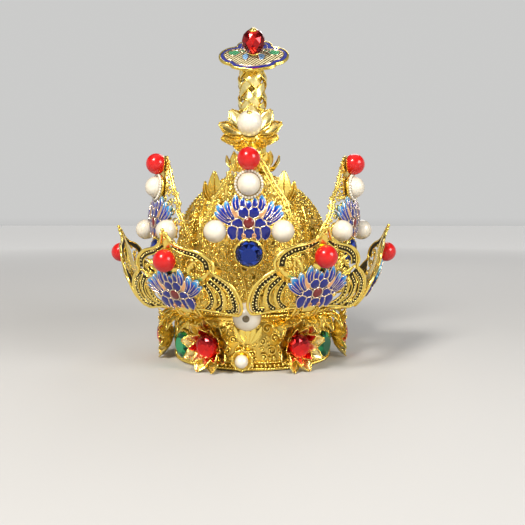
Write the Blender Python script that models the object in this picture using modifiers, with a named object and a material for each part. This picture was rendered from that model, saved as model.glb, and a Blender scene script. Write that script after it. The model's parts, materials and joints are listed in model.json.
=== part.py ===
"""Costume crown: a pierced gilt bell over a hair bun, ringed by open-work petals and panels.

Metres, +Z up, the front faces -Y, and the origin is on the axis at the foot of the band.
Lengths below are in millimetres and are turned into metres as vertices are placed.
A place on a bent sheet is given along it from its root, across it, and off its face.
"""

from math import cos, pi, radians, sin

import bmesh
import bpy
from mathutils import Matrix, Vector
from mathutils.geometry import delaunay_2d_cdt

MM = 0.001
GAP = 0.3

# The hem band and the bell over it
BAND_RADIUS = 32.5
BAND_WALL = 1.8
BAND_HEIGHT = 21.5
BAND_SIDES = 36
WALL = 1.1
BELL_OUTER = (  # radius, height
    (32.5, BAND_HEIGHT + GAP),
    (32.3, 30.0),
    (31.6, 42.0),
    (28.8, 56.0),
    (24.2, 64.0),
    (18.6, 69.2),
    (12.0, 73.0),
    (5.6, 75.0),
)
BELL_SIDES = 36
BELL_PIERCED_ROWS = (1, 2)
BELL_SLOT_EVERY = 4
BELL_SLOT_EDGE = 1.3
CREST_AZIMUTHS = (30, -30, 150, -150)
CREST_LINE = ((24.6, 62.4), (26.4, 68.0), (26.0, 77.0))  # out from the axis, height
CREST_EDGE = ((0, 4.0), (4.0, 5.4), (8.0, 4.4), (11.5, 2.0))  # along, half width
CREST_TIP = 15.0

# Big petals that spread from the band: middle line of the sheet, then its edge
PETAL_LINE = (  # out from the axis, height
    (BAND_RADIUS + GAP, 19.9),
    (39.5, 20.8),
    (46.0, 27.0),
    (49.6, 34.0),
    (51.6, 39.0),
    (52.6, 44.0),
    (56.0, 52.8),
)
PETAL_EDGE = (  # along, half width
    (0, 5.0),
    (6, 5.0),
    (13.2, 5.4),
    (12.8, 10.0),
    (11.8, 15.5),
    (10.8, 20.3),
    (12.6, 22.5),
    (15.2, 23.8),
    (18.8, 24.2),
    (23.0, 23.2),
    (26.4, 20.2),
    (28.6, 16.9),
    (30.8, 17.5),
    (33.6, 16.0),
    (36.0, 12.0),
    (37.2, 6.2),
    (39.0, 2.7),
    (41.2, 1.5),
)
PETAL_TIP = 43.5
PETAL_CUTS = (  # along, across, length, width, lean in degrees
    (18.0, 20.6, 9.0, 2.4, 4),
    (17.0, 15.2, 8.2, 2.6, 0),
    (31.2, 11.6, 7.4, 2.8, 72),
)
PETAL_MIDDLE_CUT = (38.4, 0.0, 3.0, 1.5, 0)
PETAL_BEND = 100.0
PETALS = (  # azimuth, rise of the tip
    (30, 2.0),
    (-30, 0.0),
    (90, 1.0),
    (-90, 0.4),
    (150, 0.0),
    (-150, 0.0),
)
PETAL_BEAD_ALONG = 33.5
PETAL_LOTUS_ALONG = 20.4

# Upright spade panels: middle line, then edge
PANEL_LINE = (  # out from the axis, height
    (BAND_RADIUS + GAP + 0.7, 26.8),
    (35.9, 34.0),
    (38.6, 41.0),
    (42.0, 55.0),
    (40.8, 68.0),
    (40.0, 80.0),
)
PANEL_EDGE = (  # along, half width
    (0, 6.0),
    (7, 7.8),
    (14, 10.8),
    (19.5, 15.6),
    (24.9, 19.2),
    (29.5, 17.4),
    (33.7, 14.8),
    (37.9, 13.4),
    (40.4, 11.6),
    (43.0, 9.6),
    (47.0, 7.4),
    (51.0, 5.2),
    (54.4, 2.2),
)
PANEL_TIP = 55.4
PANEL_CUTS = (  # along, across, length, width, lean in degrees
    (7.5, 3.6, 8.0, 2.4, 8),
    (15.6, 7.6, 6.4, 2.2, 30),
    (20.6, 11.6, 5.2, 2.2, 40),
    (34.6, 10.8, 5.0, 2.2, -25),
)
PANEL_BEND = 36.0
PANELS = (  # azimuth, outward lean of the tip
    (1.5, 0.0),
    (66.0, 0.5),
    (-59.0, -2.0),
    (180, 0.0),
)
PANEL_BEAD_ALONG = 52.0
PANEL_CREST_ALONG = 43.2
PANEL_LOTUS_ALONG = 30.0
PANEL_STONE_ALONG = 19.4
PANEL_PEARLS = (27.5, 11.1)  # along, across

# Enamel lotus, from the middle of its width up its right side
LOTUS_EDGE = (  # across, up
    (0, 5.9),
    (1.9, 5.3),
    (2.6, 8.2),
    (4.2, 8.9),
    (5.6, 8.2),
    (5.4, 5.2),
    (8.2, 7.2),
    (9.2, 4.9),
    (11.6, 4.6),
    (10.8, 2.0),
    (7.6, -0.4),
    (5.6, -1.4),
    (7.0, -3.2),
    (5.4, -5.6),
    (3.6, -4.6),
    (2.4, -5.1),
    (0, -4.9),
)
LOTUS_THICK = 1.3
LOTUS_CLEAR = 0.5  # of its back from the sheet
LOTUS_EYE = (1.9, 1.5)  # radius, height

# Round stones, by radius
CORAL = 4.0
PEARL = 4.0
DROP_PEARL = 5.2
HEM_PEARL = 2.5
FINIAL_PEARL = 5.0
BEAD_SIDES = 10
BEAD_RINGS = 6
BEAD_BACK = 0.5  # flat back of a set bead, behind its centre by this share of the radius
BEAD_LATITUDES = (-30, 0, 30, 55, 78)
BEAD_CLEAR = 0.7  # of the flat back from a sheet that may curve towards it
NAVY_STONE = (5.0, 4.2)  # radius, height
GREEN_STONE = (5.6, 3.4)
GREEN_AZIMUTHS = (59, 111.5, 160.5, 207, 255.5, 309)
RED_STONE = (4.4, 3.6)
GREEN_HEIGHT = 7.8
DROP_PEARL_HEIGHT = 21.6
HEM_CUP = ((3.2, 0.0), (4.2, 2.0), (2.8, 2.0))  # radius, height
CREST_PEARL = (  # a pearl in a low round setting: radius, height
    (4.5, 0.0),
    (5.2, 0.8),
    (4.4, 1.6),
    (3.9, 2.0),
    (3.8, 3.2),
    (2.9, 5.0),
    (1.2, 6.0),
)

# Cup flowers round the band
FLOWER_AZIMUTHS = (31, 86, 137, 184, 230, 281, 336)
FLOWER_HEIGHT = 9.9
FLOWER_LEAVES = 9
HUB_SIDES = 8
FLOWER_CUP = (  # radius on the leaf, radius between leaves, depth
    (3.0, 3.0, 1.0),
    (6.6, 5.0, 3.6),
    (9.4, 6.2, 7.4),
)
HUB_RADIUS = 2.2
FLOWER_STONE_FOOT = 3.4
SHEET = 1.0
HEM_PEARL_PLACE = (-3.5, 4.6)  # azimuth, height

# Neck, finial flower, plaited tube, cloud plate and top bead
STEM_LINE = (  # radius, height
    (5.0, BELL_OUTER[-1][1] + GAP),
    (7.4, 77.0),
    (6.8, 79.0),
    (6.0, 82.0),
    (5.6, 88.0),
    (5.2, 94.0),
    (5.2, 99.4),
    (5.0, 100.2),
)
CALYX_LEAVES = 5
CALYX_LINE = (  # out from the axis, height
    (5.0, 77.4),
    (8.6, 77.0),
    (10.8, 79.4),
    (11.6, 83.0),
)
CALYX_EDGE = ((0, 1.4), (5.0, 2.8), (7.4, 2.2))  # along, half width
CALYX_TIP = 10.4
FINIAL_TILT = 54.0
FINIAL_CENTRE = (0.0, -10.9, 88.9)
FINIAL_CUP = (
    (3.0, 3.0, 0.4),
    (7.6, 5.4, 1.8),
    (12.0, 6.2, 5.0),
)
FINIAL_HUB = ((2.4, -0.6), (3.4, 1.0), (3.4, 2.4))
FINIAL_STALK = 1.5
STEM_AT_FINIAL = 5.6
FINIAL_LEAVES = 8
PLAIT_FOOT = STEM_LINE[-1][1] + GAP
PLAIT_TOP = 117.0
PLAIT_RADIUS = 5.0
PLAIT_BULGE = 0.5
PLAIT_STRAND = 0.9
PLAIT_STRANDS = 6
PLAIT_ROWS = 5
CLOUD_CENTRE = (0.6, 0.0, 122.9)
CLOUD_TILT = 41.0
CLOUD_THICK = 1.3
CLOUD_EDGE = (  # across, back from the middle
    (0, 13.2),
    (3.0, 12.9),
    (5.3, 11.8),
    (6.9, 9.8),
    (7.3, 7.8),
    (10.6, 6.2),
    (12.9, 3.8),
    (14.0, 0.6),
    (13.6, -2.2),
    (11.8, -5.1),
    (9.1, -6.8),
    (8.5, -8.3),
    (6.2, -9.7),
    (2.5, -10.8),
    (0, -11.4),
)
CLOUD_POST = 1.2
TOP_BEAD = 4.9
TOP_BEAD_BACK = 1.2
PIN = (1.5, 1.2)  # radius, height

COLOURS = {  # name: base colour, metallic, roughness
    "gold": ((0.95, 0.62, 0.17), 1.0, 0.28),
    "old_gold": ((0.55, 0.38, 0.13), 1.0, 0.38),
    "blue_enamel": ((0.02, 0.03, 0.42), 0.0, 0.2),
    "pearl": ((0.92, 0.86, 0.72), 0.0, 0.3),
    "coral": ((0.78, 0.02, 0.02), 0.0, 0.22),
    "red_crystal": ((0.6, 0.01, 0.01), 0.0, 0.12),
}


def material(name):
    """The named Principled material, made once."""
    found = bpy.data.materials.get(name)
    if found:
        return found
    colour, metallic, roughness = COLOURS[name]
    made = bpy.data.materials.new(name)
    made.use_nodes = True
    shader = made.node_tree.nodes["Principled BSDF"]
    shader.inputs["Base Color"].default_value = (*colour, 1.0)
    shader.inputs["Metallic"].default_value = metallic
    shader.inputs["Roughness"].default_value = roughness
    return made


def new_object(name, bm, finish, cutter=False):
    """A bmesh in millimetres as an object in metres, in the crown's or the helpers' collection."""
    bmesh.ops.recalc_face_normals(bm, faces=bm.faces)
    closed = all(len(edge.link_faces) == 2 for edge in bm.edges)
    if closed and bm.calc_volume(signed=True) < 0:
        bmesh.ops.reverse_faces(bm, faces=bm.faces)
    bmesh.ops.scale(bm, vec=(MM, MM, MM), verts=bm.verts)
    mesh = bpy.data.meshes.new(name)
    bm.to_mesh(mesh)
    bm.free()
    mesh.materials.append(material(finish))
    made = bpy.data.objects.new(name, mesh)
    bpy.data.collections["helpers" if cutter else "costume_crown"].objects.link(made)
    if cutter:
        made.hide_render = True
        made.display_type = "WIRE"
    return made


def fuse(target, helper):
    """Joins a helper to the target with an exact Boolean."""
    join = target.modifiers.new("join_" + helper.name, "BOOLEAN")
    join.operation = "UNION"
    join.solver = "EXACT"
    join.object = helper


def thicken(made, thickness):
    shell = made.modifiers.new("sheet", "SOLIDIFY")
    shell.thickness = thickness * MM
    shell.offset = 0.0


def polar(radius, azimuth, height):
    """A point by its azimuth in degrees, 0 at the front and rising to the wearer's left."""
    turn = radians(azimuth)
    return Vector((radius * sin(turn), -radius * cos(turn), height))


def aimed(point, normal, up=Vector((0, 0, 1))):
    """The matrix that stands a piece made along +Z on a point, along the normal."""
    side = up.cross(normal).normalized()
    return Matrix.Translation(point) @ Matrix((side, normal.cross(side), normal)).transposed().to_4x4()


def smooth_line(points, steps=8):
    """A Catmull-Rom line through the points, as a list of points."""
    ends = [Vector(p) for p in points]
    ends = [2 * ends[0] - ends[1], *ends, 2 * ends[-1] - ends[-2]]
    line = []
    for a, b, c, d in zip(ends, ends[1:], ends[2:], ends[3:]):
        for step in range(steps):
            t = step / steps
            bend = 2 * a - 5 * b + 4 * c - d
            line.append(0.5 * (2 * b + (c - a) * t + bend * t**2 + (3 * b - a - 3 * c + d) * t**3))
    line.append(ends[-2])
    return line


class BentSheet:
    """A sheet that follows a line up from its root and bends round the crown across its width."""

    def __init__(self, line, bend, azimuth, rise=0.0, lean=0.0):
        points = smooth_line(line)
        runs = [0.0]
        for a, b in zip(points, points[1:]):
            runs.append(runs[-1] + (b - a).length)
        self.points = [p + Vector((lean, rise)) * (run / runs[-1]) for p, run in zip(points, runs)]
        self.runs = runs
        self.bend = bend
        self.turn = Matrix.Rotation(radians(azimuth), 4, "Z")

    def _on_line(self, along):
        last = len(self.runs) - 2
        index = next((i for i in range(last) if self.runs[i + 1] >= along), last)
        a, b = self.points[index], self.points[index + 1]
        share = (along - self.runs[index]) / (self.runs[index + 1] - self.runs[index])
        return a.lerp(b, share) if share <= 1 else b + (b - a) * (share - 1), (b - a).normalized()

    def place(self, along, across, off=0.0):
        """The point, and the outward normal there."""
        at, way = self._on_line(along)
        out, up = way.y, -way.x
        turn = across / self.bend
        radial = at.x - self.bend * (1 - cos(turn)) + off * out * cos(turn)
        side = (self.bend + off * out) * sin(turn)
        point = self.turn @ Vector((side, -radial, at.y + off * up))
        normal = self.turn.to_3x3() @ Vector((out * sin(turn), -out * cos(turn), up))
        return point, normal.normalized()


def leaf_cut(along, across, length, width, lean):
    """A pointed slot with six corners, in sheet coordinates."""
    half = Vector((length / 2, 0))
    side = Vector((0, width / 2))
    corners = (half, half / 3 + side, side - half / 3, -half, -half / 3 - side, half / 3 - side)
    turn = Matrix.Rotation(radians(lean), 2)
    return [Vector((along, across)) + turn @ corner for corner in corners]


def mirrored_cuts(rows, middle=()):
    cuts = [leaf_cut(*row) for row in middle]
    for along, across, length, width, lean in rows:
        cuts.append(leaf_cut(along, across, length, width, lean))
        cuts.append(leaf_cut(along, -across, length, width, -lean))
    return cuts


def mirrored_edge(rows, tip=None):
    """A closed edge from rows (along, half width), with an end point on the middle line."""
    right = [Vector(row) for row in rows]
    left = [Vector((p.x, -p.y)) for p in reversed(right) if abs(p.y) > 1e-6]
    return right + ([Vector((tip, 0))] if tip is not None else []) + left


def inside(point, loop):
    found = False
    for a, b in zip(loop, loop[1:] + loop[:1]):
        if (a.y > point.y) != (b.y > point.y):
            if point.x < (b.x - a.x) * (point.y - a.y) / (b.y - a.y) + a.x:
                found = not found
    return found


def near(point, loop, distance):
    for a, b in zip(loop, loop[1:] + loop[:1]):
        share = max(0.0, min(1.0, (point - a).dot(b - a) / (b - a).length_squared))
        if (a.lerp(b, share) - point).length < distance:
            return True
    return False


def flat_sheet(edge, cuts, spacing):
    """Points and triangles that fill the edge around the cuts, with a loose grid of points inside."""
    loops = [edge, *cuts]
    points = [p for loop in loops for p in loop]
    edges = []
    for loop in loops:
        first = len(edges)
        edges += [(first + i, first + (i + 1) % len(loop)) for i in range(len(loop))]
    low = Vector((min(p.x for p in edge), min(p.y for p in edge)))
    high = Vector((max(p.x for p in edge), max(p.y for p in edge)))
    rows = int((high.x - low.x) / spacing)
    columns = int((high.y - low.y) / spacing / 2)
    for row in range(1, rows + 1):
        for column in range(-columns, columns + 1):
            point = Vector((low.x + row * spacing, column * spacing))
            if not inside(point, edge) or any(inside(point, cut) for cut in cuts):
                continue
            if not any(near(point, loop, spacing / 3) for loop in loops):
                points.append(point)
    placed, _, triangles, *_ = delaunay_2d_cdt(points, edges, [], 0, 1e-5)
    kept = []
    for corners in triangles:
        middle = sum((placed[i] for i in corners), Vector((0, 0))) / 3
        if inside(middle, edge) and not any(inside(middle, cut) for cut in cuts):
            kept.append(corners)
    return placed, kept


def sheet_object(name, flat, place, thickness, finish, cutter=False):
    """A flat pattern laid on a bent surface by place(along, across), then given its thickness."""
    placed, triangles = flat
    bm = bmesh.new()
    verts = [bm.verts.new(place(p.x, p.y)) for p in placed]
    for corners in triangles:
        bm.faces.new([verts[i] for i in corners])
    bmesh.ops.delete(bm, geom=[v for v in bm.verts if not v.link_faces], context="VERTS")
    made = new_object(name, bm, finish, cutter)
    thicken(made, thickness)
    return made


def bead(name, radius, centre, finish, cutter=False, matrix=None):
    bm = bmesh.new()
    bmesh.ops.create_uvsphere(bm, u_segments=BEAD_SIDES, v_segments=BEAD_RINGS, radius=radius)
    bm.transform(matrix or Matrix.Translation(centre))
    made = new_object(name, bm, finish, cutter)
    made.data.shade_smooth()
    return made


def turned(name, line, sides, finish, cutter=False, matrix=None, ring=False):
    """A closed turned solid from (radius, height) rows, bottom up, or a ring from a closed section."""
    bm = bmesh.new()
    loops = []
    for radius, height in line:
        loop = bmesh.ops.create_circle(bm, segments=sides, radius=radius)["verts"]
        bmesh.ops.translate(bm, verts=loop, vec=(0, 0, height))
        loops.append(loop)
    for low, high in zip(loops, loops[1:] + loops[:1] if ring else loops[1:]):
        for i in range(sides):
            j = (i + 1) % sides
            bm.faces.new((low[i], low[j], high[j], high[i]))
    if not ring:
        bm.faces.new(loops[0])
        bm.faces.new(loops[-1])
    bmesh.ops.delete(bm, geom=[e for e in bm.edges if not e.link_faces], context="EDGES")
    bm.transform(matrix or Matrix.Identity(4))
    return new_object(name, bm, finish, cutter)


def cut_stone_line(size, foot=0.0):
    """The side of a cut stone: straight girdle, crown facets and a flat table."""
    radius, height = size
    shares = ((0.86, 0.0), (1.0, 0.35), (1.0, 0.55), (0.58, 1.0))  # of radius, of height
    return [(radius * spread, foot + height * share) for spread, share in shares]


def make_band():
    """The hem band: a plain foot roll, the wall, six green stones and the hem pearl's cup."""
    inner = BAND_RADIUS - BAND_WALL
    section = (
        (inner, 0.0),
        (BAND_RADIUS + 0.7, 0.0),
        (BAND_RADIUS + 1.2, 1.2),
        (BAND_RADIUS + 0.7, 2.4),
        (BAND_RADIUS, 3.0),
        (BAND_RADIUS, BAND_HEIGHT),
        (inner, BAND_HEIGHT),
    )
    band = turned("base_band", section, BAND_SIDES, "gold", ring=True)
    seat = BAND_RADIUS - 0.7
    for index, azimuth in enumerate(GREEN_AZIMUTHS, 1):
        spot = aimed(polar(seat, azimuth, GREEN_HEIGHT), polar(1, azimuth, 0))
        stone = turned(f"green_stone_{index}", cut_stone_line(GREEN_STONE), BEAD_SIDES, "gold", True, spot)
        fuse(band, stone)
    azimuth, height = HEM_PEARL_PLACE
    spot = aimed(polar(seat, azimuth, height), polar(1, azimuth, 0))
    fuse(band, turned("hem_cup", HEM_CUP, BEAD_SIDES, "gold", True, spot))
    top = seat + HEM_CUP[-1][1] + GAP
    bead("hem_pearl", HEM_PEARL, polar(top + HEM_PEARL, azimuth, height), "pearl")
    bead("drop_pearl", DROP_PEARL, polar(BAND_RADIUS + GAP + DROP_PEARL, 0, DROP_PEARL_HEIGHT), "pearl")


def make_bell():
    """The pierced bell: a turned shell with slots staggered in two rows, and four crests."""
    bm = bmesh.new()
    loops = []
    for radius, height in BELL_OUTER:
        loop = [bm.verts.new(polar(radius, 360 * i / BELL_SIDES, height)) for i in range(BELL_SIDES)]
        loops.append(loop)
    pierced = []
    for row, (low, high) in enumerate(zip(loops, loops[1:])):
        for i in range(BELL_SIDES):
            j = (i + 1) % BELL_SIDES
            face = bm.faces.new((low[i], low[j], high[j], high[i]))
            if row in BELL_PIERCED_ROWS and (i + 2 * row) % BELL_SLOT_EVERY == 0:
                pierced.append(face)
    bm.faces.new(loops[-1])
    bmesh.ops.inset_individual(bm, faces=pierced, thickness=BELL_SLOT_EDGE)
    bmesh.ops.delete(bm, geom=pierced, context="FACES")
    bell = new_object("dome", bm, "gold")
    thicken(bell, WALL)
    bell.modifiers["sheet"].offset = -1.0
    for index, azimuth in enumerate(CREST_AZIMUTHS):
        sheet = BentSheet(CREST_LINE, BELL_OUTER[0][0], azimuth)
        flat = flat_sheet(mirrored_edge(CREST_EDGE, CREST_TIP), [], 4.0)
        crest = sheet_object(f"crest_{index}", flat, lambda s, w: sheet.place(s, w)[0], WALL, "gold", True)
        fuse(bell, crest)


def make_lotus(name, sheet, along):
    """An enamel lotus laid on a sheet, with its round eye."""
    edge = mirrored_edge([(up, across) for across, up in LOTUS_EDGE])
    flat = flat_sheet(edge, [], 5.0)
    off = SHEET / 2 + LOTUS_CLEAR + LOTUS_THICK / 2
    lotus = sheet_object(
        name, flat, lambda up, across: sheet.place(along + up, across, off)[0], LOTUS_THICK, "blue_enamel"
    )
    radius, height = LOTUS_EYE
    eye = ((radius, 0.0), (radius, height * 0.7), (radius * 0.6, height))
    fuse(lotus, turned(name + "_eye", eye, 8, "red_crystal", True, aimed(*sheet.place(along, 0, off))))


def bead_on(name, radius, sheet, along, across, finish):
    """A bead with a flat back, set on a sheet."""
    rows = [(radius * cos(radians(at)), radius * (BEAD_BACK + sin(radians(at)))) for at in BEAD_LATITUDES]
    spot = aimed(*sheet.place(along, across, SHEET / 2 + BEAD_CLEAR))
    turned(name, rows, BEAD_SIDES, finish, matrix=spot).data.shade_smooth()


def make_petals():
    cuts = mirrored_cuts(PETAL_CUTS, [PETAL_MIDDLE_CUT])
    flat = flat_sheet(mirrored_edge(PETAL_EDGE, PETAL_TIP), cuts, 6.0)
    for number, (azimuth, rise) in enumerate(PETALS, 1):
        sheet = BentSheet(PETAL_LINE, PETAL_BEND, azimuth, rise)
        sheet_object(f"lower_petal_{number}", flat, lambda s, w: sheet.place(s, w)[0], SHEET, "old_gold")
        bead_on(f"lower_bead_{number}", CORAL, sheet, PETAL_BEAD_ALONG, 0, "coral")
        make_lotus(f"lower_lotus_{number}", sheet, PETAL_LOTUS_ALONG)


def make_panels():
    flat = flat_sheet(mirrored_edge(PANEL_EDGE, PANEL_TIP), mirrored_cuts(PANEL_CUTS), 6.0)
    for number, (azimuth, lean) in enumerate(PANELS, 1):
        sheet = BentSheet(PANEL_LINE, PANEL_BEND, azimuth, lean=lean)
        panel = sheet_object(f"upper_panel_{number}", flat, lambda s, w: sheet.place(s, w)[0], SHEET, "gold")
        spot = aimed(*sheet.place(PANEL_STONE_ALONG, 0, 0))
        stone = turned(f"navy_stone_{number}", cut_stone_line(NAVY_STONE), 12, "gold", True, spot)
        fuse(panel, stone)
        bead_on(f"upper_bead_{number}", CORAL, sheet, PANEL_BEAD_ALONG, 0, "coral")
        spot = aimed(*sheet.place(PANEL_CREST_ALONG, 0, SHEET / 2 + GAP))
        turned(f"upper_crest_pearl_{number}", CREST_PEARL, 12, "pearl", matrix=spot)
        make_lotus(f"upper_lotus_{number}", sheet, PANEL_LOTUS_ALONG)
        along, across = PANEL_PEARLS
        for side in (1, 2):
            w = across if side == 1 else -across
            bead_on(f"upper_side_pearl_{number}_{side}", PEARL, sheet, along, w, "pearl")


def flower(name, rows, leaves, matrix, hub):
    """A cup of pointed leaves on a turned hub, with the matrix's +Z as its axis."""
    bm = bmesh.new()
    loops = []
    for on_leaf, between, depth in rows:
        loop = []
        for i in range(2 * leaves):
            turn = pi * (i + 1) / leaves
            radius = between if i % 2 else on_leaf
            loop.append(bm.verts.new((radius * sin(turn), -radius * cos(turn), depth)))
        loops.append(loop)
    for low, high in zip(loops, loops[1:]):
        for i in range(2 * leaves):
            j = (i + 1) % (2 * leaves)
            bm.faces.new((low[i], low[j], high[j], high[i]))
    bm.faces.new(loops[0])
    bm.transform(matrix)
    cup = new_object(name, bm, "gold")
    thicken(cup, SHEET)
    fuse(cup, turned(name + "_hub", hub, HUB_SIDES, "red_crystal", True, matrix))
    return cup


def make_flowers():
    for number, azimuth in enumerate(FLOWER_AZIMUTHS, 1):
        spot = aimed(polar(BAND_RADIUS + GAP, azimuth, FLOWER_HEIGHT), polar(1, azimuth, 0))
        hub = [(HUB_RADIUS, 0.0), (HUB_RADIUS, FLOWER_STONE_FOOT)]
        hub += cut_stone_line(RED_STONE, FLOWER_STONE_FOOT)
        flower(f"base_flower_{number}", FLOWER_CUP, FLOWER_LEAVES, spot, hub)


def make_stem():
    """The neck on the bell's top with a ring of upright leaves."""
    stem = turned("stem", STEM_LINE, 12, "gold")
    for index in range(CALYX_LEAVES):
        sheet = BentSheet(CALYX_LINE, CALYX_LINE[-1][0], 360 * (index + 0.5) / CALYX_LEAVES)
        flat = flat_sheet(mirrored_edge(CALYX_EDGE, CALYX_TIP), [], 9.0)
        name = f"calyx_leaf_{index}"
        fuse(stem, sheet_object(name, flat, lambda s, w: sheet.place(s, w)[0], SHEET, "gold", True))


def make_finial():
    """The flower on the front of the neck, tipped up, and its pearl."""
    lean = radians(FINIAL_TILT)
    axis = Vector((0, -sin(lean), cos(lean)))
    centre = Vector(FINIAL_CENTRE)
    spot = aimed(centre, axis)
    cup = flower("finial_flower", FINIAL_CUP, FINIAL_LEAVES, spot, FINIAL_HUB)
    back = -(STEM_AT_FINIAL + GAP)
    stalk = ((FINIAL_STALK, 0.0), (FINIAL_STALK, back - centre.y))
    foot = Vector((0, back, centre.z))
    fuse(cup, turned("finial_stalk", stalk, 8, "gold", True, aimed(foot, Vector((0, -1, 0)))))
    bead("finial_pearl", FINIAL_PEARL, centre + axis * (FINIAL_HUB[-1][1] + GAP + FINIAL_PEARL), "pearl")


def make_plait():
    """A tube of crossing strands: diamonds round two bulges, thickened into a lattice, and its top post."""
    bm = bmesh.new()
    rows = []
    foot = PLAIT_FOOT + PLAIT_STRAND
    rise = PLAIT_TOP - PLAIT_STRAND - foot
    for row in range(PLAIT_ROWS + 1):
        share = row / PLAIT_ROWS
        radius = PLAIT_RADIUS + PLAIT_BULGE * sin(2 * pi * share) ** 2
        shift = 180 / PLAIT_STRANDS * (row % 2)
        height = foot + rise * share
        turns = [360 * i / PLAIT_STRANDS + shift for i in range(PLAIT_STRANDS)]
        rows.append([bm.verts.new(polar(radius, turn, height)) for turn in turns])
    for row in range(PLAIT_ROWS - 1):
        for i in range(PLAIT_STRANDS):
            other = (i + row % 2) % PLAIT_STRANDS
            left = rows[row + 1][other - 1]
            bm.faces.new((rows[row][i], rows[row + 1][other], rows[row + 2][i], left))
    for low, high in ((rows[0], rows[1]), (rows[-1], rows[-2])):
        for i in range(PLAIT_STRANDS):
            peak = i if low is rows[0] or PLAIT_ROWS % 2 == 0 else (i + 1) % PLAIT_STRANDS
            bm.faces.new((low[i], low[(i + 1) % PLAIT_STRANDS], high[peak]))
    plait = new_object("plait", bm, "gold")
    lattice = plait.modifiers.new("strands", "WIREFRAME")
    lattice.thickness = 2 * PLAIT_STRAND * MM
    lattice.use_even_offset = False
    lattice.use_boundary = True
    lean = radians(CLOUD_TILT)
    under = CLOUD_CENTRE[2] - (CLOUD_THICK / 2 + GAP) / cos(lean) - CLOUD_POST * sin(lean) / cos(lean)
    cap = (
        (PLAIT_RADIUS, PLAIT_TOP - 1.5),
        (PLAIT_RADIUS, PLAIT_TOP - 0.4),
        (CLOUD_POST, PLAIT_TOP - 0.4),
        (CLOUD_POST, under),
    )
    fuse(plait, turned("plait_cap", cap, PLAIT_STRANDS * 2, "gold", True))


def cloud_axis():
    lean = radians(CLOUD_TILT)
    return Vector((0, -sin(lean), cos(lean)))


def make_cloud_plate():
    """The cloud-shaped plate, tipped to the front, with the faceted bead and its pin on top."""
    spot = aimed(Vector(CLOUD_CENTRE), cloud_axis())
    seat = spot @ Matrix.Translation((0, TOP_BEAD_BACK, 0))
    edge = mirrored_edge([(back, across) for across, back in CLOUD_EDGE])
    flat = flat_sheet(edge, [], 30.0)

    def place(back, across):
        return spot @ Vector((across, back, 0))

    sheet_object("cloud_plate", flat, place, CLOUD_THICK, "blue_enamel")
    rest = CLOUD_THICK / 2 + GAP + TOP_BEAD
    top = bead("top_bead", TOP_BEAD, None, "red_crystal", matrix=seat @ Matrix.Translation((0, 0, rest)))
    top.data.shade_flat()
    radius, height = PIN
    top_of_bead = rest + TOP_BEAD
    pin = ((radius, top_of_bead - height), (radius, top_of_bead), (radius * 0.5, top_of_bead + height / 2))
    fuse(top, turned("pin", pin, 8, "gold", True, seat))


def main():
    for left_over in list(bpy.data.objects):
        bpy.data.objects.remove(left_over, do_unlink=True)
    for name in ("costume_crown", "helpers"):
        bpy.context.scene.collection.children.link(bpy.data.collections.new(name))
    make_band()
    make_bell()
    make_petals()
    make_panels()
    make_flowers()
    make_stem()
    make_finial()
    make_plait()
    make_cloud_plate()


main()
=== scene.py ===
"""Dresses the costume crown: filigree, granulation, cloisonne enamel, pearls and cut stones.

Lengths in the tables are millimetres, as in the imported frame's own source. A place on a bent
sheet is given along it from its root, across it, and off its face.
"""

import json
from math import cos, hypot, pi, radians, sin

import bpy
import numpy as np
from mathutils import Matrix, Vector
from mathutils.geometry import delaunay_2d_cdt

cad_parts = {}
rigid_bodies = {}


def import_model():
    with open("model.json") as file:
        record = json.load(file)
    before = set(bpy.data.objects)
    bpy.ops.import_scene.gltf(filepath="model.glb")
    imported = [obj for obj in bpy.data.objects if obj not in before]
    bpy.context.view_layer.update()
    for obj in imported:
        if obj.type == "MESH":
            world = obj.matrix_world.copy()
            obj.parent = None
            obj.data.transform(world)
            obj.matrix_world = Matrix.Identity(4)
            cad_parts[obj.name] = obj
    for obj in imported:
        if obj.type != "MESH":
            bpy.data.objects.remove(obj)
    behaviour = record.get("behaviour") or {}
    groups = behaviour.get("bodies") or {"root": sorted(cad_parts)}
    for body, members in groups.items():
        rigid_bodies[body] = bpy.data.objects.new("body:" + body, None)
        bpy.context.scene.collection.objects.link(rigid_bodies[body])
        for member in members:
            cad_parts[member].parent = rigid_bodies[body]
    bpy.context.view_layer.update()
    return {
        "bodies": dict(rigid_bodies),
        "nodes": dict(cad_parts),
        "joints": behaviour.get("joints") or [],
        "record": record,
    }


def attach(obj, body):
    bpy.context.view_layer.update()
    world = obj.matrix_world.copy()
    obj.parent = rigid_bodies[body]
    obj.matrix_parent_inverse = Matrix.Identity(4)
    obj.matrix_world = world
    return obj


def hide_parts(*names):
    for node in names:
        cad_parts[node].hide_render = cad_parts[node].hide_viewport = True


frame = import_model()

MM = 0.001
SEED = 7

# The hem band and the bell over it
BAND_RADIUS = 32.5
BAND_HEIGHT = 21.5
GAP = 0.3
BELL_LINE = (  # radius, height
    (32.5, 21.8),
    (32.3, 30.0),
    (31.6, 42.0),
    (28.8, 56.0),
    (24.2, 64.0),
    (18.6, 69.2),
    (12.0, 73.0),
    (5.6, 75.0),
)
FLOWER_AZIMUTHS = (31, 86, 137, 184, 230, 281, 336)
FLOWER_HEIGHT = 9.9
GREEN_AZIMUTHS = (59, 111.5, 160.5, 207, 255.5, 309)
GREEN_HEIGHT = 7.8
HEM_PEARL_PLACE = (-3.5, 4.6)  # azimuth, height
DROP_PEARL_HEIGHT = 21.6

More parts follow.
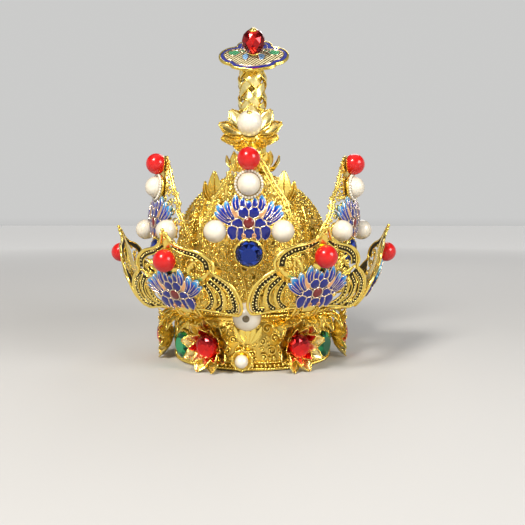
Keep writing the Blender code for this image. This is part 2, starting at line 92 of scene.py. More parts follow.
# Big petals: middle line of the sheet, then its edge
PETAL_LINE = (  # out from the axis, height
    (32.8, 19.9),
    (39.5, 20.8),
    (46.0, 27.0),
    (49.6, 34.0),
    (51.6, 39.0),
    (52.6, 44.0),
    (56.0, 52.8),
)
PETAL_BEND = 100.0
PETALS = (  # azimuth, rise of the tip
    (30, 2.0),
    (-30, 0.0),
    (90, 1.0),
    (-90, 0.4),
    (150, 0.0),
    (-150, 0.0),
)
PETAL_EDGE = (  # along, half width
    (13.4, 5.2),
    (12.8, 10.0),
    (11.8, 15.5),
    (10.8, 20.3),
    (12.6, 22.5),
    (15.2, 23.8),
    (18.8, 24.2),
    (23.0, 23.2),
    (26.4, 20.2),
    (28.6, 16.9),
    (30.8, 17.5),
    (33.6, 16.0),
    (36.0, 12.0),
    (37.2, 6.2),
    (39.0, 2.7),
    (41.2, 1.5),
    (43.3, 0.0),
)
PETAL_BEAD_ALONG = 33.5
PETAL_LOTUS_ALONG = 20.4

# Upright spade panels
PANEL_LINE = (  # out from the axis, height
    (33.5, 26.8),
    (35.9, 34.0),
    (38.6, 41.0),
    (42.0, 55.0),
    (40.8, 68.0),
    (40.0, 80.0),
)
PANEL_BEND = 36.0
PANELS = (  # azimuth, outward lean of the tip
    (1.5, 0.0),
    (66.0, 0.5),
    (-59.0, -2.0),
    (180, 0.0),
)
PANEL_EDGE = (  # along, half width
    (0, 6.0),
    (7, 7.8),
    (14, 10.8),
    (19.5, 15.6),
    (24.9, 19.2),
    (29.5, 17.4),
    (33.7, 14.8),
    (37.9, 13.4),
    (40.4, 11.6),
    (43.0, 9.6),
    (47.0, 7.4),
    (51.0, 5.2),
    (54.4, 2.2),
    (55.2, 0.0),
)
PANEL_BEAD_ALONG = 52.0
PANEL_CREST_ALONG = 43.2
PANEL_LOTUS_ALONG = 30.0
PANEL_STONE_ALONG = 19.4
PANEL_PEARLS = (27.5, 11.1)  # along, across
BEAD_BACK = 0.5  # flat back of a set bead, behind its centre by this share of the radius
BEAD_CLEAR = 0.7
SHEET = 1.0


def catmull(a, b, c, d, t):
    """The point at share t from b to c on the curve through four points."""
    bend = 2 * a - 5 * b + 4 * c - d
    twist = 3 * b - a - 3 * c + d
    return 0.5 * (2 * b + (c - a) * t + bend * t**2 + twist * t**3)


def smooth_line(points, steps=8):
    """A Catmull-Rom line through the points, as an array."""
    ends = np.array(points, float)
    ends = np.vstack([2 * ends[0] - ends[1], ends, 2 * ends[-1] - ends[-2]])
    line = []
    for a, b, c, d in zip(ends, ends[1:], ends[2:], ends[3:]):
        for t in np.arange(steps) / steps:
            line.append(catmull(a, b, c, d, t))
    line.append(ends[-2])
    return np.array(line)


def runs_of(points):
    """The distance along the points at each one."""
    return np.concatenate([[0], np.cumsum(np.linalg.norm(np.diff(points, axis=0), axis=1))])


def spaced(points, spacing):
    """Points at an even spacing along a line, both ends kept."""
    points = np.asarray(points, float)
    runs = runs_of(points)
    count = max(int(round(runs[-1] / spacing)), 1)
    at = np.linspace(0, runs[-1], count + 1)
    return np.stack([np.interp(at, runs, points[:, k]) for k in range(points.shape[1])], axis=1)


def unit(rows):
    """Rows of vectors at length 1."""
    return rows / np.maximum(np.linalg.norm(rows, axis=-1, keepdims=True), 1e-9)


def around(radius, turn, height):
    """Points at a turn round the crown's axis, with 0 at its front."""
    return np.stack(np.broadcast_arrays(radius * np.sin(turn), -radius * np.cos(turn), height), axis=-1)


def ring_faces(a, b, count):
    """The faces between two rings of verts that start at a and b."""
    return [(a + i, a + (i + 1) % count, b + (i + 1) % count, b + i) for i in range(count)]


def beside(points, distance):
    """A line in the plane at a distance to the left of another."""
    points = np.asarray(points, float)
    way = unit(np.gradient(points, axis=0))
    return points + distance * np.stack([-way[:, 1], way[:, 0]], axis=1)


class BentSheet:
    """A sheet that follows a line up from its root and bends round the crown across its width."""

    def __init__(self, line, bend, azimuth, rise=0.0, lean=0.0):
        points = smooth_line(line)
        runs = runs_of(points)
        points += np.outer(runs / runs[-1], (lean, rise))
        self.points = points
        self.runs = runs
        self.bend = bend
        self.azimuth = radians(azimuth)

    def _at(self, run):
        run = np.clip(run, 0, self.runs[-1])
        return np.stack([np.interp(run, self.runs, self.points[:, k]) for k in range(2)], axis=-1)

    def _frame(self, along, across):
        along = np.asarray(along, float)
        step = 0.05
        inside = np.clip(along, 0, self.runs[-1])
        way = unit(self._at(inside + step) - self._at(inside - step))
        at = self._at(inside) + (along - inside)[..., None] * way
        return at, way, np.asarray(across, float) / self.bend

    def place(self, along, across, off=0.0):
        """Points in the crown's frame, in millimetres."""
        at, way, turn = self._frame(along, across)
        out, up = way[..., 1], -way[..., 0]
        radial = at[..., 0] - self.bend * (1 - np.cos(turn)) + off * out * np.cos(turn)
        side = (self.bend + off * out) * np.sin(turn)
        return self._turned(side, -radial, at[..., 1] + off * up)

    def normal(self, along, across):
        _, way, turn = self._frame(along, across)
        out, up = way[..., 1], -way[..., 0]
        return unit(self._turned(out * np.sin(turn), -out * np.cos(turn), up))

    def _turned(self, x, y, z):
        c, s = cos(self.azimuth), sin(self.azimuth)
        return np.stack(np.broadcast_arrays(c * x - s * y, s * x + c * y, z), axis=-1)


class RoundWall:
    """A turned wall: along is the distance up its line and across the distance round a given radius."""

    def __init__(self, line, girth):
        self.points = smooth_line(line)
        self.runs = runs_of(self.points)
        self.girth = girth

    def place(self, along, across, off=0.0):
        along = np.clip(np.asarray(along, float), 0, self.runs[-1])
        radius = np.interp(along, self.runs, self.points[:, 0])
        height = np.interp(along, self.runs, self.points[:, 1])
        turn = np.asarray(across, float) / self.girth
        slope_r = np.gradient(self.points[:, 0], self.runs)
        slope_z = np.gradient(self.points[:, 1], self.runs)
        out = np.interp(along, self.runs, slope_z)
        up = -np.interp(along, self.runs, slope_r)
        size = np.hypot(out, up)
        return around(radius + off * out / size, turn, height + off * up / size)


class Shape:
    """Collects faces in millimetres, each with a material, and makes one mesh object of them."""

    def __init__(self):
        self.verts = []
        self.faces = []
        self.finishes = []
        self.slots = []
        self.count = 0
        self.tints = []
        self.smooth = []

    def add(self, verts, faces, finish, smooth=True, tint=None):
        """Adds verts with faces (tuples of indices), all of one finish; tint is a number a vertex."""
        if finish not in self.slots:
            self.slots.append(finish)
        self.verts.append(np.asarray(verts, float).reshape(-1, 3))
        start = self.count
        self.faces += [tuple(start + i for i in face) for face in faces]
        self.finishes += [self.slots.index(finish)] * len(faces)
        self.smooth += [smooth] * len(faces)
        added = len(self.verts[-1])
        self.tints.append(np.full(added, 0.0) if tint is None else np.broadcast_to(tint, (added,)))
        self.count += added

    def make(self, name, *nodes):
        """The object, riding on the one body and standing for the nodes."""
        mesh = bpy.data.meshes.new(name)
        mesh.from_pydata((np.vstack(self.verts) * MM).tolist(), [], self.faces)
        for slot in self.slots:
            mesh.materials.append(FINISHES[slot][1])
        mesh.polygons.foreach_set("material_index", self.finishes)
        mesh.polygons.foreach_set("use_smooth", self.smooth)
        tint = mesh.attributes.new("tint", "FLOAT", "POINT")
        tint.data.foreach_set("value", np.concatenate(self.tints).astype(np.float32))
        mesh.update()
        made = bpy.data.objects.new(name, mesh)
        bpy.context.scene.collection.objects.link(made)
        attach(made, "root")
        if nodes:
            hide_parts(*nodes)
        return made


def tube(shape, points, radius, finish, sides=6, closed=False):
    """A wire along the points, closed in a ring or with round ends."""
    points = np.asarray(points, float)
    count = len(points)
    if count < 2:
        return
    if closed:
        way = unit(np.roll(points, -1, axis=0) - np.roll(points, 1, axis=0))
    else:
        way = unit(np.gradient(points, axis=0))
    up = np.array((0.0, 0.0, 1.0)) if abs(way[0][2]) < 0.9 else np.array((1.0, 0.0, 0.0))
    ups = []
    for direction in way:
        up = unit(up - direction * up.dot(direction))
        ups.append(up)
    ups = np.array(ups)
    across = np.cross(way, ups)
    radii = np.broadcast_to(np.asarray(radius, float), (count,))
    turns = 2 * pi * (np.arange(sides) + 0.5) / sides
    rings = points[:, None] + radii[:, None, None] * (
        np.cos(turns)[None, :, None] * across[:, None] + np.sin(turns)[None, :, None] * ups[:, None]
    )
    verts = rings.reshape(-1, 3)
    faces = []
    for k in range(count if closed else count - 1):
        faces += ring_faces(k * sides, ((k + 1) % count) * sides, sides)
    if not closed:
        tips = np.array([points[0] - way[0] * radii[0] * 0.6, points[-1] + way[-1] * radii[-1] * 0.6])
        verts = np.vstack([verts, tips])
        first, last = count * sides, count * sides + 1
        end = (count - 1) * sides
        for i in range(sides):
            j = (i + 1) % sides
            faces.append((first, j, i))
            faces.append((last, end + i, end + j))
    shape.add(verts, faces, finish)


def ball_template(rings, sides):
    """A unit ball's verts and faces with a pole at each end."""
    verts = [(0.0, 0.0, -1.0)]
    for k in range(1, rings):
        tilt = pi * k / rings - pi / 2
        for i in range(sides):
            turn = 2 * pi * i / sides
            verts.append((cos(tilt) * cos(turn), cos(tilt) * sin(turn), sin(tilt)))
    verts.append((0.0, 0.0, 1.0))
    faces = [(0, 1 + (i + 1) % sides, 1 + i) for i in range(sides)]
    for k in range(rings - 2):
        faces += ring_faces(1 + k * sides, 1 + (k + 1) * sides, sides)
    top = len(verts) - 1
    last = top - sides
    faces += [(top, last + i, last + (i + 1) % sides) for i in range(sides)]
    return np.array(verts), faces


CURL_TURNS = 1.35
GRAIN = ball_template(4, 6)
SMOOTH_BALL = ball_template(24, 36)


def balls(shape, centres, radius, finish, template=GRAIN):
    """A ball at each centre; radius is one number or one a ball."""
    ball, faces = template
    radii = np.broadcast_to(np.asarray(radius, float), (len(centres),))
    for centre, size in zip(np.asarray(centres, float), radii):
        shape.add(ball * size + centre, faces, finish)


def on_sheet(sheet, line, off=0.0):
    line = np.asarray(line, float)
    return sheet.place(line[:, 0], line[:, 1], off)


def sheet_wire(shape, sheet, line, radius, finish, off=0.0, sides=6, step=0.8):
    """A wire laid on a sheet along a line of (along, across)."""
    tube(shape, on_sheet(sheet, spaced(line, step), off), radius, finish, sides)


def ribbon(shape, sheet, line, width, finish, off=0.0, thick=0.5, step=1.0):
    """A flat strip on a sheet, of one width or one at each end and middle, as a closed solid."""
    line = spaced(line, step)
    shares = np.linspace(0, 1, len(line))
    half = np.interp(shares, np.linspace(0, 1, len(np.atleast_1d(width))), np.atleast_1d(width)) / 2
    way = unit(np.gradient(line, axis=0))
    side = np.stack([-way[:, 1], way[:, 0]], axis=1) * half[:, None]
    left, right = line + side, line - side
    rows = [on_sheet(sheet, edge, off + lift) for lift in (-thick / 2, thick / 2) for edge in (left, right)]
    count = len(line)
    verts = np.vstack(rows)
    low_left, low_right, high_left, high_right = (k * count for k in range(4))
    faces = []
    for k in range(count - 1):
        faces.append((high_left + k, high_left + k + 1, high_right + k + 1, high_right + k))
        faces.append((low_left + k + 1, low_left + k, low_right + k, low_right + k + 1))
        faces.append((low_left + k, low_left + k + 1, high_left + k + 1, high_left + k))
        faces.append((low_right + k + 1, low_right + k, high_right + k, high_right + k + 1))
    end = count - 1
    faces.append((low_left, high_left, high_right, low_right))
    faces.append((low_right + end, high_right + end, high_left + end, low_left + end))
    shape.add(verts, faces, finish, smooth=False)


def beaded_band(shape, sheet, line, width, rows, grain=0.34):
    """A near-black strip, a painted shade for the shaded ground seen through the petal, between two bright
    wires, with rows of granules on it.
    """
    line = spaced(smooth_line(line), 0.8)
    # The strip is painted shade, near black, standing for the shaded ground behind the petal.
    ribbon(shape, sheet, line, width, "shade_and_hatch_dark")
    for side in (-1, 1):
        sheet_wire(shape, sheet, beside(line, side * width / 2), 0.24, "gold", 0.22, 5)
    for row in range(rows):
        shift = (row - (rows - 1) / 2) * grain * 3.4
        spots = spaced(beside(line, shift), grain * 3.6)[1:-1]
        balls(shape, on_sheet(sheet, spots, 0.34), grain, "highlight_pale_gold")


def mirrored(line):
    line = np.asarray(line, float)
    return np.stack([line[:, 0], -line[:, 1]], axis=1)


def inside(outline, spots):
    """Which spots lie inside a closed outline."""
    x, y = spots[:, 0], spots[:, 1]
    found = np.zeros(len(spots), bool)
    for (ax, ay), (bx, by) in zip(outline, np.roll(outline, -1, axis=0)):
        if ay == by:
            continue
        crossing = (ay > y) != (by > y)
        found ^= crossing & (x < (bx - ax) * (y - ay) / (by - ay) + ax)
    return found


def nearest(points, others):
    """The distance from each point to the nearest of the others."""
    found = np.full(len(points), np.inf)
    for start in range(0, len(others), 64):
        part = others[start : start + 64]
        gaps = np.linalg.norm(points[:, None] - part[None], axis=2)
        found = np.minimum(found, gaps.min(axis=1))
    return found


def packed_circles(surface, spots, blocked, largest, smallest, dice, limit=900):
    """Fits circles on a surface among the spots, the widest place first: rows of along, across, radius."""
    at = surface.place(spots[:, 0], spots[:, 1])
    room = nearest(at, blocked) if len(blocked) else np.full(len(spots), np.inf)
    rows = []
    while len(rows) < limit:
        best = int(np.argmax(np.minimum(room, largest) + 0.02 * dice.random(len(room))))
        if room[best] < smallest:
            break
        radius = min(room[best], largest * (0.7 + 0.3 * dice.random()))
        rows.append((spots[best][0], spots[best][1], radius))
        room = np.minimum(room, np.linalg.norm(at - at[best], axis=1) - radius)
    return rows


def grid_spots(low, high, spacing):
    along = np.arange(low[0], high[0], spacing)
    across = np.arange(low[1], high[1], spacing)
    return np.stack(np.meshgrid(along, across), axis=-1).reshape(-1, 2)


def curl(shape, surface, row, finish, dice, wire, stretch=1.0, off=0.0):
    """One spiral scroll with a granule at its eye, filling a circle on a surface."""
    along, across, radius = row
    hand = 1 if dice.random() < 0.5 else -1
    first = 2 * pi * dice.random()
    count = 9 + int(5 * min(radius, 2.4))
    share = np.linspace(0, 1, count)
    reach = (radius - wire * 0.6) * (1 - 0.78 * share)
    angle = first + hand * 2 * pi * CURL_TURNS * share
    line = np.stack([along + reach * np.cos(angle), across + stretch * reach * np.sin(angle)], axis=1)
    tube(shape, on_sheet(surface, line, off), wire, finish, 5)
    if radius > 0.9:
        balls(shape, surface.place([along], [across], off), wire * 1.5, finish)


def rope(shape, points, radius, pitch):
    """Two gold wires twisted along a closed line."""
    line = spaced(np.vstack([points, points[:1]]), 0.35)[:-1]
    runs = runs_of(line)
    length = runs[-1] + np.linalg.norm(line[-1] - line[0])
    turns = max(round(length / pitch), 1)
    way = unit(np.roll(line, -1, axis=0) - np.roll(line, 1, axis=0))
    side = unit(np.cross(way, (0.0, 0.0, 1.0)))
    up = np.cross(side, way)
    for start in (0.0, 0.5):
        angle = 2 * pi * (turns * runs / length + start)
        path = line + radius * 0.5 * (np.cos(angle)[:, None] * side + np.sin(angle)[:, None] * up)
        tube(shape, path, radius * 0.58, "gold", 5, closed=True)


def ring_points(radius, height, count=96):
    return around(radius, 2 * pi * np.arange(count) / count, float(height))


def turned(shape, profile, finish, sides=48, frame=None):
    """A closed turned solid from a profile of (radius, height) whose two ends are on the axis or meet."""
    profile = np.asarray(profile, float)
    turn = 2 * pi * np.arange(sides) / sides
    verts = around(profile[:, None, 0], turn, profile[:, None, 1]).reshape(-1, 3)
    faces = []
    rows = len(profile)
    ring_shut = bool(np.allclose(profile[0], profile[-1]))
    for k in range(rows - 1):
        faces += ring_faces(k * sides, ((k + 1) % (rows - 1) if ring_shut else k + 1) * sides, sides)
    if ring_shut:
        verts = verts[: (rows - 1) * sides]
    else:
        faces.append(tuple(range(sides))[::-1])
        faces.append(tuple((rows - 1) * sides + i for i in range(sides)))
    shape.add(verts if frame is None else frame.put(verts), faces, finish)


class Seat:
    """A place and a direction that small pieces are built on: local Z is the direction."""

    def __init__(self, at, axis, up=(0.0, 0.0, 1.0)):
        self.at = np.asarray(at, float).reshape(3)
        z = np.asarray(axis, float).reshape(3)
        self.z = z / np.linalg.norm(z)
        y = np.asarray(up, float) - self.z * np.dot(up, self.z)
        if np.linalg.norm(y) < 1e-3:
            y = np.array((0.0, 1.0, 0.0)) - self.z * self.z[1]
        self.y = y / np.linalg.norm(y)
        self.x = np.cross(self.y, self.z)

    def put(self, points):
        points = np.asarray(points, float)
        return self.at + points[..., :1] * self.x + points[..., 1:2] * self.y + points[..., 2:3] * self.z


def sheet_seat(sheet, along, across, off):
    at = sheet.place(along, across, off)
    up = sheet.place(along + 1.0, across, off) - at
    return Seat(at, sheet.normal(along, across), up)


def cut_stone(shape, seat, radii, heights, count, finish, dice, shade=None):
    """A faceted stone: each facet's tint is a painted brightness for light reflected inside the stone, random,
    or mostly shade(x, y) with x, y in radii, a painted light across the stone.
    """
    rings = []
    for k, (radius, height) in enumerate(zip(radii, heights)):
        turn = 2 * pi * (np.arange(count) + 0.5 * (k % 2)) / count
        ring = (radius * np.cos(turn), radius * np.sin(turn), np.full(count, float(height)))
        rings.append(np.stack(ring, axis=1))
    facets = [tuple(rings[0][::-1])]
    for k, (low, high) in enumerate(zip(rings, rings[1:])):
        for i in range(count):
            j = (i + 1) % count
            if k % 2 == 0:
                facets.append((low[i], low[j], high[i]))
                facets.append((low[j], high[j], high[i]))
            else:
                facets.append((low[i], low[j], high[j]))
                facets.append((low[i], high[j], high[i]))
    facets.append(tuple(rings[-1]))
    for facet in facets:
        x, y, _ = np.mean(facet, axis=0) / max(radii)
        # Painted reflection: each facet's brightness, random or given by shade.
        tint = dice.random() if shade is None else 0.7 * shade(x, y) + 0.3 * dice.random()
        shape.add(seat.put(np.array(facet)), [tuple(range(len(facet)))], finish, smooth=False, tint=tint)


def stone_bezel(shape, seat, radius, height):
    """A gold collar round a stone with eight small claws over its edge."""
    outer = radius + 0.7
    low, rim = (radius, -0.6), (radius, height * 0.7)
    turned(shape, (low, (outer, -0.6), (outer, height * 0.55), rim, low), "gold", 28, seat)
    turn = 2 * pi * np.arange(8) / 8
    spots = np.stack([radius * np.cos(turn), radius * np.sin(turn), np.full(8, height * 0.75)], axis=1)
    balls(shape, seat.put(spots), 0.42, "gold")


LEAF_THICK = 0.22
LEAF_FOLD = 0.1575  # how far the fold lies under the edges' plane, in half widths
LEAF_CURL = 0.5  # how far the edges rise, in half widths


def boat_leaf(shape, seat, azimuth, line, widths, finish="gold"):
    """A pointed, folded leaf from a flower's middle: line is radius and height, with its half widths."""
    line = smooth_line(line, 4)
    share = np.linspace(0, 1, len(line))
    half = np.interp(share, np.linspace(0, 1, len(widths)), widths)
    turn = radians(azimuth)
    way = np.array((sin(turn), -cos(turn), 0.0))
    side = np.array((cos(turn), sin(turn), 0.0))
    verts = []
    across = (-1.0, -0.55, 0.0, 0.55, 1.0)
    for lift in (0.0, -LEAF_THICK):
        for (radius, height), w in zip(line, half):
            for u in across:
                rise = LEAF_CURL * w * abs(u) ** 1.6 - LEAF_FOLD * w
                verts.append(way * radius + side * (u * w) + np.array((0, 0, height + rise + lift)))
    rows, cols = len(line), len(across)
    verts = np.array(verts)
    faces = []
    low = rows * cols
    for r in range(rows - 1):
        for c in range(cols - 1):
            a, b = r * cols + c, (r + 1) * cols + c
            faces.append((a, a + 1, b + 1, b))
            faces.append((low + a + 1, low + a, low + b, low + b + 1))
    for r in range(rows - 1):
        a, b = r * cols, (r + 1) * cols
        faces.append((low + a, a, b, low + b))
        a, b = a + cols - 1, b + cols - 1
        faces.append((a, low + a, low + b, b))
    faces.append(tuple(range(cols)) + tuple(low + c for c in reversed(range(cols))))
    end = (rows - 1) * cols
    faces.append(tuple(end + c for c in reversed(range(cols))) + tuple(low + end + c for c in range(cols)))
    shape.add(seat.put(verts), faces, finish)
    for c in (0, cols - 1):
        tube(shape, seat.put(verts[[r * cols + c for r in range(rows)]]), 0.2, "gold", 5)


# Looks


def blank(name):
    made = bpy.data.materials.new(name)
    made.use_nodes = True
    tree = made.node_tree
    tree.nodes.clear()
    shader = tree.nodes.new("ShaderNodeBsdfPrincipled")
    out = tree.nodes.new("ShaderNodeOutputMaterial")
    tree.links.new(shader.outputs[0], out.inputs[0])
    return made, tree, shader


def ramp(tree, stops):
    made = tree.nodes.new("ShaderNodeValToRGB")
    elements = made.color_ramp.elements
    while len(elements) < len(stops):
        elements.new(0.5)
    for element, (place, colour) in zip(elements, stops):
        element.position = place
        element.color = (*colour, 1)
    return made


def noise(tree, scale, detail=3.0):
    where = tree.nodes.new("ShaderNodeTexCoord")
    made = tree.nodes.new("ShaderNodeTexNoise")
    made.inputs["Scale"].default_value = scale
    made.inputs["Detail"].default_value = detail
    tree.links.new(where.outputs["Object"], made.inputs["Vector"])
    return made


def bumped(tree, shader, source, strength, distance):
    made = tree.nodes.new("ShaderNodeBump")
    made.inputs["Strength"].default_value = strength
    made.inputs["Distance"].default_value = distance
    tree.links.new(source, made.inputs["Height"])
    tree.links.new(made.outputs[0], shader.inputs["Normal"])


def metal(name, face, recess_shade, roughness, grain=0.15, reach=0.0008, metallic=1.0, gloss=0.5):
    """Gilt metal whose colour darkens towards a painted shade colour in its recesses, by an ambient-occlusion
    mask, with a slightly uneven surface.
    """
    made, tree, shader = blank(name)
    shader.inputs["Metallic"].default_value = metallic
    shader.inputs["Specular IOR Level"].default_value = gloss
    # Painted shade: an ambient-occlusion mask darkens the base colour towards the recess shade colour in
    # creases and hollows.
    shade = tree.nodes.new("ShaderNodeAmbientOcclusion")
    shade.inputs["Distance"].default_value = reach
    shade.samples = 6
    tone = ramp(tree, ((0.2, recess_shade), (0.62, face)))
    tree.links.new(shade.outputs["AO"], tone.inputs[0])
    tree.links.new(tone.outputs[0], shader.inputs["Base Color"])
    cloud = noise(tree, 420.0)
    spread = tree.nodes.new("ShaderNodeMapRange")
    spread.inputs["To Min"].default_value = roughness
    spread.inputs["To Max"].default_value = roughness + 0.1
    tree.links.new(cloud.outputs[0], spread.inputs["Value"])
    tree.links.new(spread.outputs[0], shader.inputs["Roughness"])
    bumped(tree, shader, cloud.outputs[0], grain, 0.0004)
    return made


def enamel(name, stops, roughness=0.18):
    """Glossy enamel whose colour runs along a cell by the tint of its vertices."""
    made, tree, shader = blank(name)
    tint = tree.nodes.new("ShaderNodeAttribute")
    tint.attribute_name = "tint"
    tone = ramp(tree, stops)
    tree.links.new(tint.outputs["Fac"], tone.inputs[0])
    tree.links.new(tone.outputs[0], shader.inputs["Base Color"])
    shader.inputs["Roughness"].default_value = roughness
    shader.inputs["Coat Weight"].default_value = 0.35
    shader.inputs["Coat Roughness"].default_value = 0.08
    bumped(tree, shader, noise(tree, 900.0).outputs[0], 0.08, 0.0003)
    return made


def gem(name, dark, bright, glow=0.0):
    """A foil-backed stone: each facet takes its own brightness from its tint, a painted reflection inside the
    stone, and glow shines its colour as emission, a painted glow.
    """
    made, tree, shader = blank(name)
    tint = tree.nodes.new("ShaderNodeAttribute")
    tint.attribute_name = "tint"
    middle = tuple(0.5 * a + 0.5 * b for a, b in zip(dark, bright))
    tone = ramp(tree, ((0.0, dark), (0.55, middle), (1.0, bright)))
    tree.links.new(tint.outputs["Fac"], tone.inputs[0])
    tree.links.new(tone.outputs[0], shader.inputs["Base Color"])
    tree.links.new(tone.outputs[0], shader.inputs["Emission Color"])
    # Painted glow: the stone shines by emission though it is no lamp.
    shader.inputs["Emission Strength"].default_value = glow
    shader.inputs["Metallic"].default_value = 0.85
    shader.inputs["Roughness"].default_value = 0.09
    shader.inputs["Coat Weight"].default_value = 0.3
    shader.inputs["Coat Roughness"].default_value = 0.02
    return made


def pearl_look():
    made, tree, shader = blank("pearl_nacre")
    # Painted shade: the pearl's colour darkens from its middle towards its edges.
    edge = tree.nodes.new("ShaderNodeLayerWeight")
    edge.inputs["Blend"].default_value = 0.35
    tone = ramp(tree, ((0.0, (0.78, 0.72, 0.60)), (0.5, (0.66, 0.58, 0.45)), (1.0, (0.36, 0.30, 0.21))))
    tree.links.new(edge.outputs["Facing"], tone.inputs[0])
    tree.links.new(tone.outputs[0], shader.inputs["Base Color"])
    shader.inputs["Roughness"].default_value = 0.28
    shader.inputs["Subsurface Weight"].default_value = 0.12
    shader.inputs["Subsurface Radius"].default_value = (0.002, 0.0015, 0.001)
    shader.inputs["Subsurface Scale"].default_value = 0.5
    shader.inputs["Coat Weight"].default_value = 0.6
    shader.inputs["Coat Roughness"].default_value = 0.12
    return made


def coral_look():
    made, tree, shader = blank("coral_red")
    tone = ramp(tree, ((0.3, (0.50, 0.006, 0.006)), (0.7, (0.62, 0.010, 0.008))))
    tree.links.new(noise(tree, 160.0).outputs[0], tone.inputs[0])
    tree.links.new(tone.outputs[0], shader.inputs["Base Color"])
    shader.inputs["Roughness"].default_value = 0.26
    shader.inputs["Specular IOR Level"].default_value = 0.3
    shader.inputs["Coat Weight"].default_value = 0.35
    shader.inputs["Coat Roughness"].default_value = 0.06
    return made


BLUE_STOPS = (
    (0.0, (0.002, 0.004, 0.12)),
    (0.62, (0.003, 0.015, 0.30)),
    (0.84, (0.02, 0.24, 0.58)),
    (1.0, (0.26, 0.58, 0.74)),
)
# Every metal finish's second colour is a painted shade that its recesses darken to.
FINISHES = {  # the material slot it is in, and the material
    "gold": ("gilt", metal("gold", (1.0, 0.75, 0.17), (0.50, 0.28, 0.03), 0.17, grain=0.06)),
    # A lighter copy of the gold: a painted highlight, on granules, flower leaves and the plait's ribbons.
    "highlight_pale_gold": ("gilt", metal("highlight_pale_gold", (1.0, 0.83, 0.34), (0.66, 0.40, 0.08), 0.22, grain=0.05)),
    "scroll_gold": (
        "gilt",
        metal("scroll_gold", (1.0, 0.78, 0.20), (0.42, 0.24, 0.03), 0.18, grain=0.08),
    ),
    # Near black and not metallic: painted shade on the petals' bands, where the shaded ground behind would
    # show; also the real hatch lines on the cloud plate.
    "shade_and_hatch_dark": (
        "antique_gilt",
        metal("shade_and_hatch_dark", (0.035, 0.026, 0.010), (0.008, 0.006, 0.003), 0.6, metallic=0.0, gloss=0.08),
    ),
    # Red-tinted gold: a painted reflection of the red stone in a flower's inner leaves.
    "ruby_reflection_gold": ("gilt", metal("ruby_reflection_gold", (0.75, 0.05, 0.03), (0.3, 0.01, 0.01), 0.22)),
    "net_gold": ("gilt", metal("net_gold", (0.90, 0.64, 0.14), (0.20, 0.12, 0.02), 0.28, grain=0.2)),
    "rose_gold": ("gilt", metal("rose_gold", (0.95, 0.48, 0.22), (0.4, 0.12, 0.03), 0.25)),
    "cream_gold": (
        "gilt",
        metal("cream_gold", (0.95, 0.82, 0.46), (0.90, 0.74, 0.38), 0.45, metallic=0.1),
    ),
    "pale_wire": ("gilt", metal("pale_wire", (1.0, 0.80, 0.58), (0.7, 0.42, 0.24), 0.2)),
    "blue": ("enamel", enamel("enamel_blue", BLUE_STOPS)),
    "oxblood": (
        "enamel",
        enamel("enamel_oxblood", ((0.0, (0.16, 0.008, 0.006)), (1.0, (0.24, 0.02, 0.012)))),
    ),
    "green": ("enamel", enamel("enamel_green", ((0.0, (0.01, 0.16, 0.06)), (1.0, (0.05, 0.40, 0.16))))),
    "sky": ("enamel", enamel("enamel_sky", ((0.0, (0.02, 0.16, 0.62)), (1.0, (0.42, 0.74, 0.92))))),
    "plum": ("enamel", enamel("enamel_plum", ((0.0, (0.10, 0.02, 0.20)), (1.0, (0.22, 0.06, 0.34))))),
    "pearl": ("pearl", pearl_look()),
    # A dark brown colour for the drill hole: painted shade where the hole goes in.
    "drill_hole_shade": (
        "pearl",
        enamel("drill_hole_shade", ((0.0, (0.16, 0.12, 0.06)), (1.0, (0.2, 0.14, 0.07))), 0.5),
    ),
    "coral": ("coral", coral_look()),
    "ruby": ("crystal", gem("crystal_ruby", (0.06, 0.0, 0.003), (0.95, 0.02, 0.015), 0.16)),
    "navy": ("crystal", gem("crystal_navy", (0.003, 0.004, 0.03), (0.03, 0.09, 0.62), 0.03)),
    "emerald": ("crystal", gem("crystal_emerald", (0.002, 0.03, 0.012), (0.03, 0.42, 0.16), 0.04)),
}

# Petals and panels


def outline_of(edge):
    """A sheet's outline from its half edge, up one side and down the other: rows of along, across."""
    half = smooth_line(edge, 6)
    return np.vstack([half, mirrored(half)[::-1][1:]])


PETAL_BANDS = (  # along and across of each dark band's middle line, and its width
    (((12.7, 17.2), (13.6, 20.6), (18.4, 22.1), (23.4, 20.9), (27.4, 16.4)), 2.5),
    (((12.9, 13.4), (16.4, 17.4), (21.4, 17.9), (25.8, 14.6)), 2.1),
    (((13.4, 9.6), (16.6, 13.2), (20.6, 13.8), (24.0, 12.4)), 1.8),
    (((29.7, 14.8), (32.6, 14.3), (34.9, 11.2), (36.3, 6.2), (38.4, 2.4)), 2.3),
)
PETAL_LEAVES = (  # root and tip of each bright leaf strip, its width and bow
    ((12.9, 15.4), (23.6, 18.2), 0.8, 1.6),
    ((13.6, 11.4), (22.6, 15.4), 0.75, 1.4),
    ((25.4, 8.2), (29.2, 15.6), 1.3, 0.8),
    ((26.6, 6.8), (33.0, 11.6), 1.0, -1.4),
)
PETAL_CURLS = (  # along, across, radius
    (31.2, 8.3, 2.5),
    (35.0, 5.6, 1.4),
    (27.2, 11.0, 1.5),
    (14.9, 7.4, 1.5),
)


def leaf_strip(shape, sheet, root, tip, width, bow, off=0.1):
    """A bright curved leaf, pointed at both ends, with a raised edge."""
    root, tip = np.array(root, float), np.array(tip, float)
    way = tip - root
    side = np.array((-way[1], way[0])) / np.linalg.norm(way)
    share = np.linspace(0, 1, 11)
    middle = root + share[:, None] * way + (bow * np.sin(pi * share))[:, None] * side
    swell = np.array((0.25, 0.7, 1.0, 0.9, 0.6, 0.15)) * width
    ribbon(shape, sheet, middle, swell, "gold", off, 0.45, 1.1)
    for hand in (-1, 1):
        edge = middle + hand * 0.5 * np.interp(share, np.linspace(0, 1, 6), swell)[:, None] * side
        sheet_wire(shape, sheet, edge, 0.17, "gold", off + 0.22, 5, step=1.1)
    return middle


PETAL_SHEETS = [BentSheet(PETAL_LINE, PETAL_BEND, azimuth, rise) for azimuth, rise in PETALS]
PANEL_SHEETS = [BentSheet(PANEL_LINE, PANEL_BEND, azimuth, lean=lean) for azimuth, lean in PANELS]


